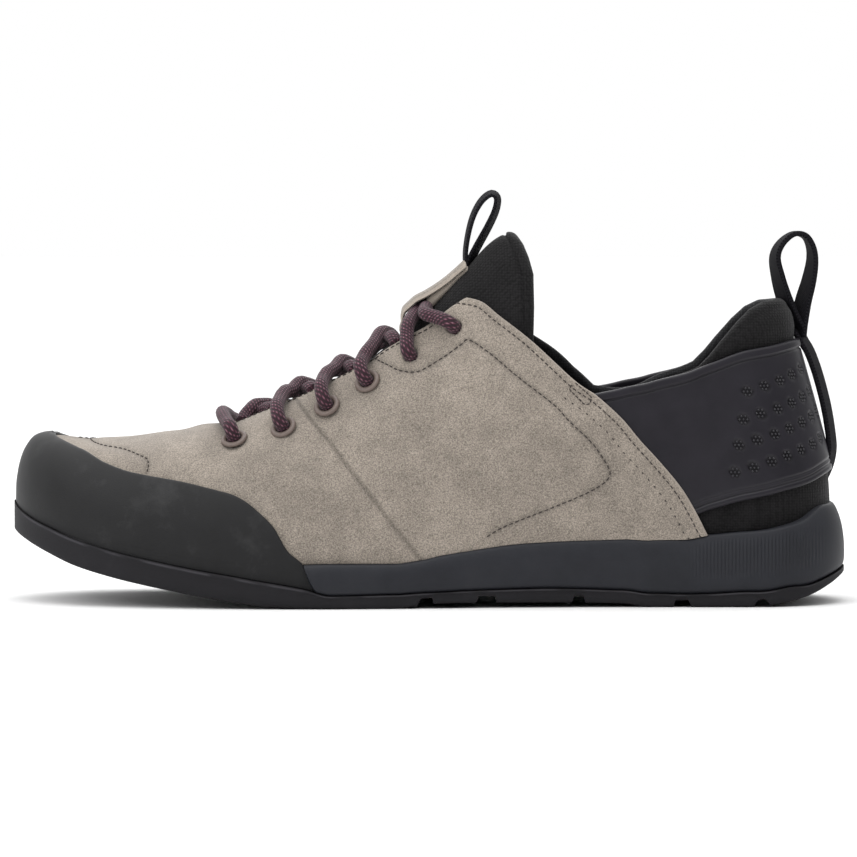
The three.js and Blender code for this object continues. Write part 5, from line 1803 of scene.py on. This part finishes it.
class SHOE_OT_strap(bpy.types.Operator):
    """Coated panel round the heel, with its pressed dots"""

    bl_idname = "shoe.strap"
    bl_label = "Heel strap"

    def execute(self, context):
        strap, pips = make_strap()
        dress(strap, "strap", "heel_strap")
        dress(pips, "strap")
        return {"FINISHED"}


class SHOE_OT_sole(bpy.types.Operator):
    """Rubber rand, foam midsole, lugged outsole and footbed"""

    bl_idname = "shoe.sole"
    bl_label = "Rand and sole"

    def execute(self, context):
        dress(make_rand(), "rand_rubber", "toe_rand")
        dress(make_midsole(), "foam", "midsole")
        dress(make_outsole(), "outsole_rubber", "outsole")
        dress(make_insole(), "footbed", "insole")
        return {"FINISHED"}


class SHOE_OT_tongue(bpy.types.Operator):
    """Padded tongue, with its suede strip and its woven loop"""

    bl_idname = "shoe.tongue"
    bl_label = "Tongue"

    def execute(self, context):
        dress(make_tongue(), "mesh", "tongue")
        upper_leaf, lower_leaf = make_keeper()
        dress(upper_leaf, "suede", "tongue_keeper")
        dress(lower_leaf, "suede")
        dress(make_tongue_loop(), "webbing", "tongue_loop")
        return {"FINISHED"}


class SHOE_OT_heel_pull(bpy.types.Operator):
    """Woven pull loop of the heel and its tail"""

    bl_idname = "shoe.heel_pull"
    bl_label = "Heel pull"

    def execute(self, context):
        dress(make_heel_pull(), "webbing", "heel_pull")
        return {"FINISHED"}


class SHOE_OT_eyelets(bpy.types.Operator):
    """Painted eyelet rings of both sides"""

    bl_idname = "shoe.eyelets"
    bl_label = "Eyelets"

    def execute(self, context):
        for row in np.flatnonzero(LACE_ROWS["ringed"]):
            dress(make_eyelet(row, 1), "eyelet", f"eyelet_outer_{row + 1}")
            dress(make_eyelet(row, -1), "eyelet", f"eyelet_inner_{row + 1}")
        return {"FINISHED"}


class SHOE_OT_lace(bpy.types.Operator):
    """Braided lace, through the eyelets and over the tongue"""

    bl_idname = "shoe.lace"
    bl_label = "Lace"

    def execute(self, context):
        *crossings, bar = make_lace()
        for number, crossing in enumerate(crossings, 1):
            dress(crossing, "lace", f"lace_cross_{number}")
        dress(bar, "lace", "lace_bar")
        return {"FINISHED"}


class SHOE_OT_stitches(bpy.types.Operator):
    """Sewing of the suede, both sides"""

    bl_idname = "shoe.stitches"
    bl_label = "Stitches"

    def execute(self, context):
        for side in (1, -1):
            dress(make_stitches(side), "suede")
        return {"FINISHED"}


class SHOE_OT_stage(bpy.types.Operator):
    """Camera, floor and light"""

    bl_idname = "shoe.stage"
    bl_label = "Stage"

    def execute(self, context):
        make_stage()
        return {"FINISHED"}


OPERATORS = (
    SHOE_OT_suede, SHOE_OT_sock, SHOE_OT_strap, SHOE_OT_sole, SHOE_OT_tongue, SHOE_OT_heel_pull,
    SHOE_OT_eyelets, SHOE_OT_lace, SHOE_OT_stitches, SHOE_OT_stage,
)


class SHOE_PT_panel(bpy.types.Panel):
    """Settings and pieces of the shoe"""

    bl_idname = "SHOE_PT_panel"
    bl_label = "Casual shoe"
    bl_space_type = "VIEW_3D"
    bl_region_type = "UI"
    bl_category = "Shoe"

    def draw(self, context):
        column = self.layout.column()
        for settings in (context.scene.shoe_colours, context.scene.shoe_sizes):
            for name in settings.__annotations__:
                column.prop(settings, name)
            column.separator()
        for operator in OPERATORS:
            column.operator(operator.bl_idname)


CLASSES = (ShoeColours, ShoeSizes, *OPERATORS, SHOE_PT_panel)


def register():
    for cls in CLASSES:
        bpy.utils.register_class(cls)
    bpy.types.Scene.shoe_colours = bpy.props.PointerProperty(type=ShoeColours)
    bpy.types.Scene.shoe_sizes = bpy.props.PointerProperty(type=ShoeSizes)


def unregister():
    del bpy.types.Scene.shoe_colours
    del bpy.types.Scene.shoe_sizes
    for cls in reversed(CLASSES):
        bpy.utils.unregister_class(cls)


def main():
    register()
    for operator in OPERATORS:
        group, name = operator.bl_idname.split(".")
        getattr(getattr(bpy.ops, group), name)()


if __name__ == "__main__":
    main()
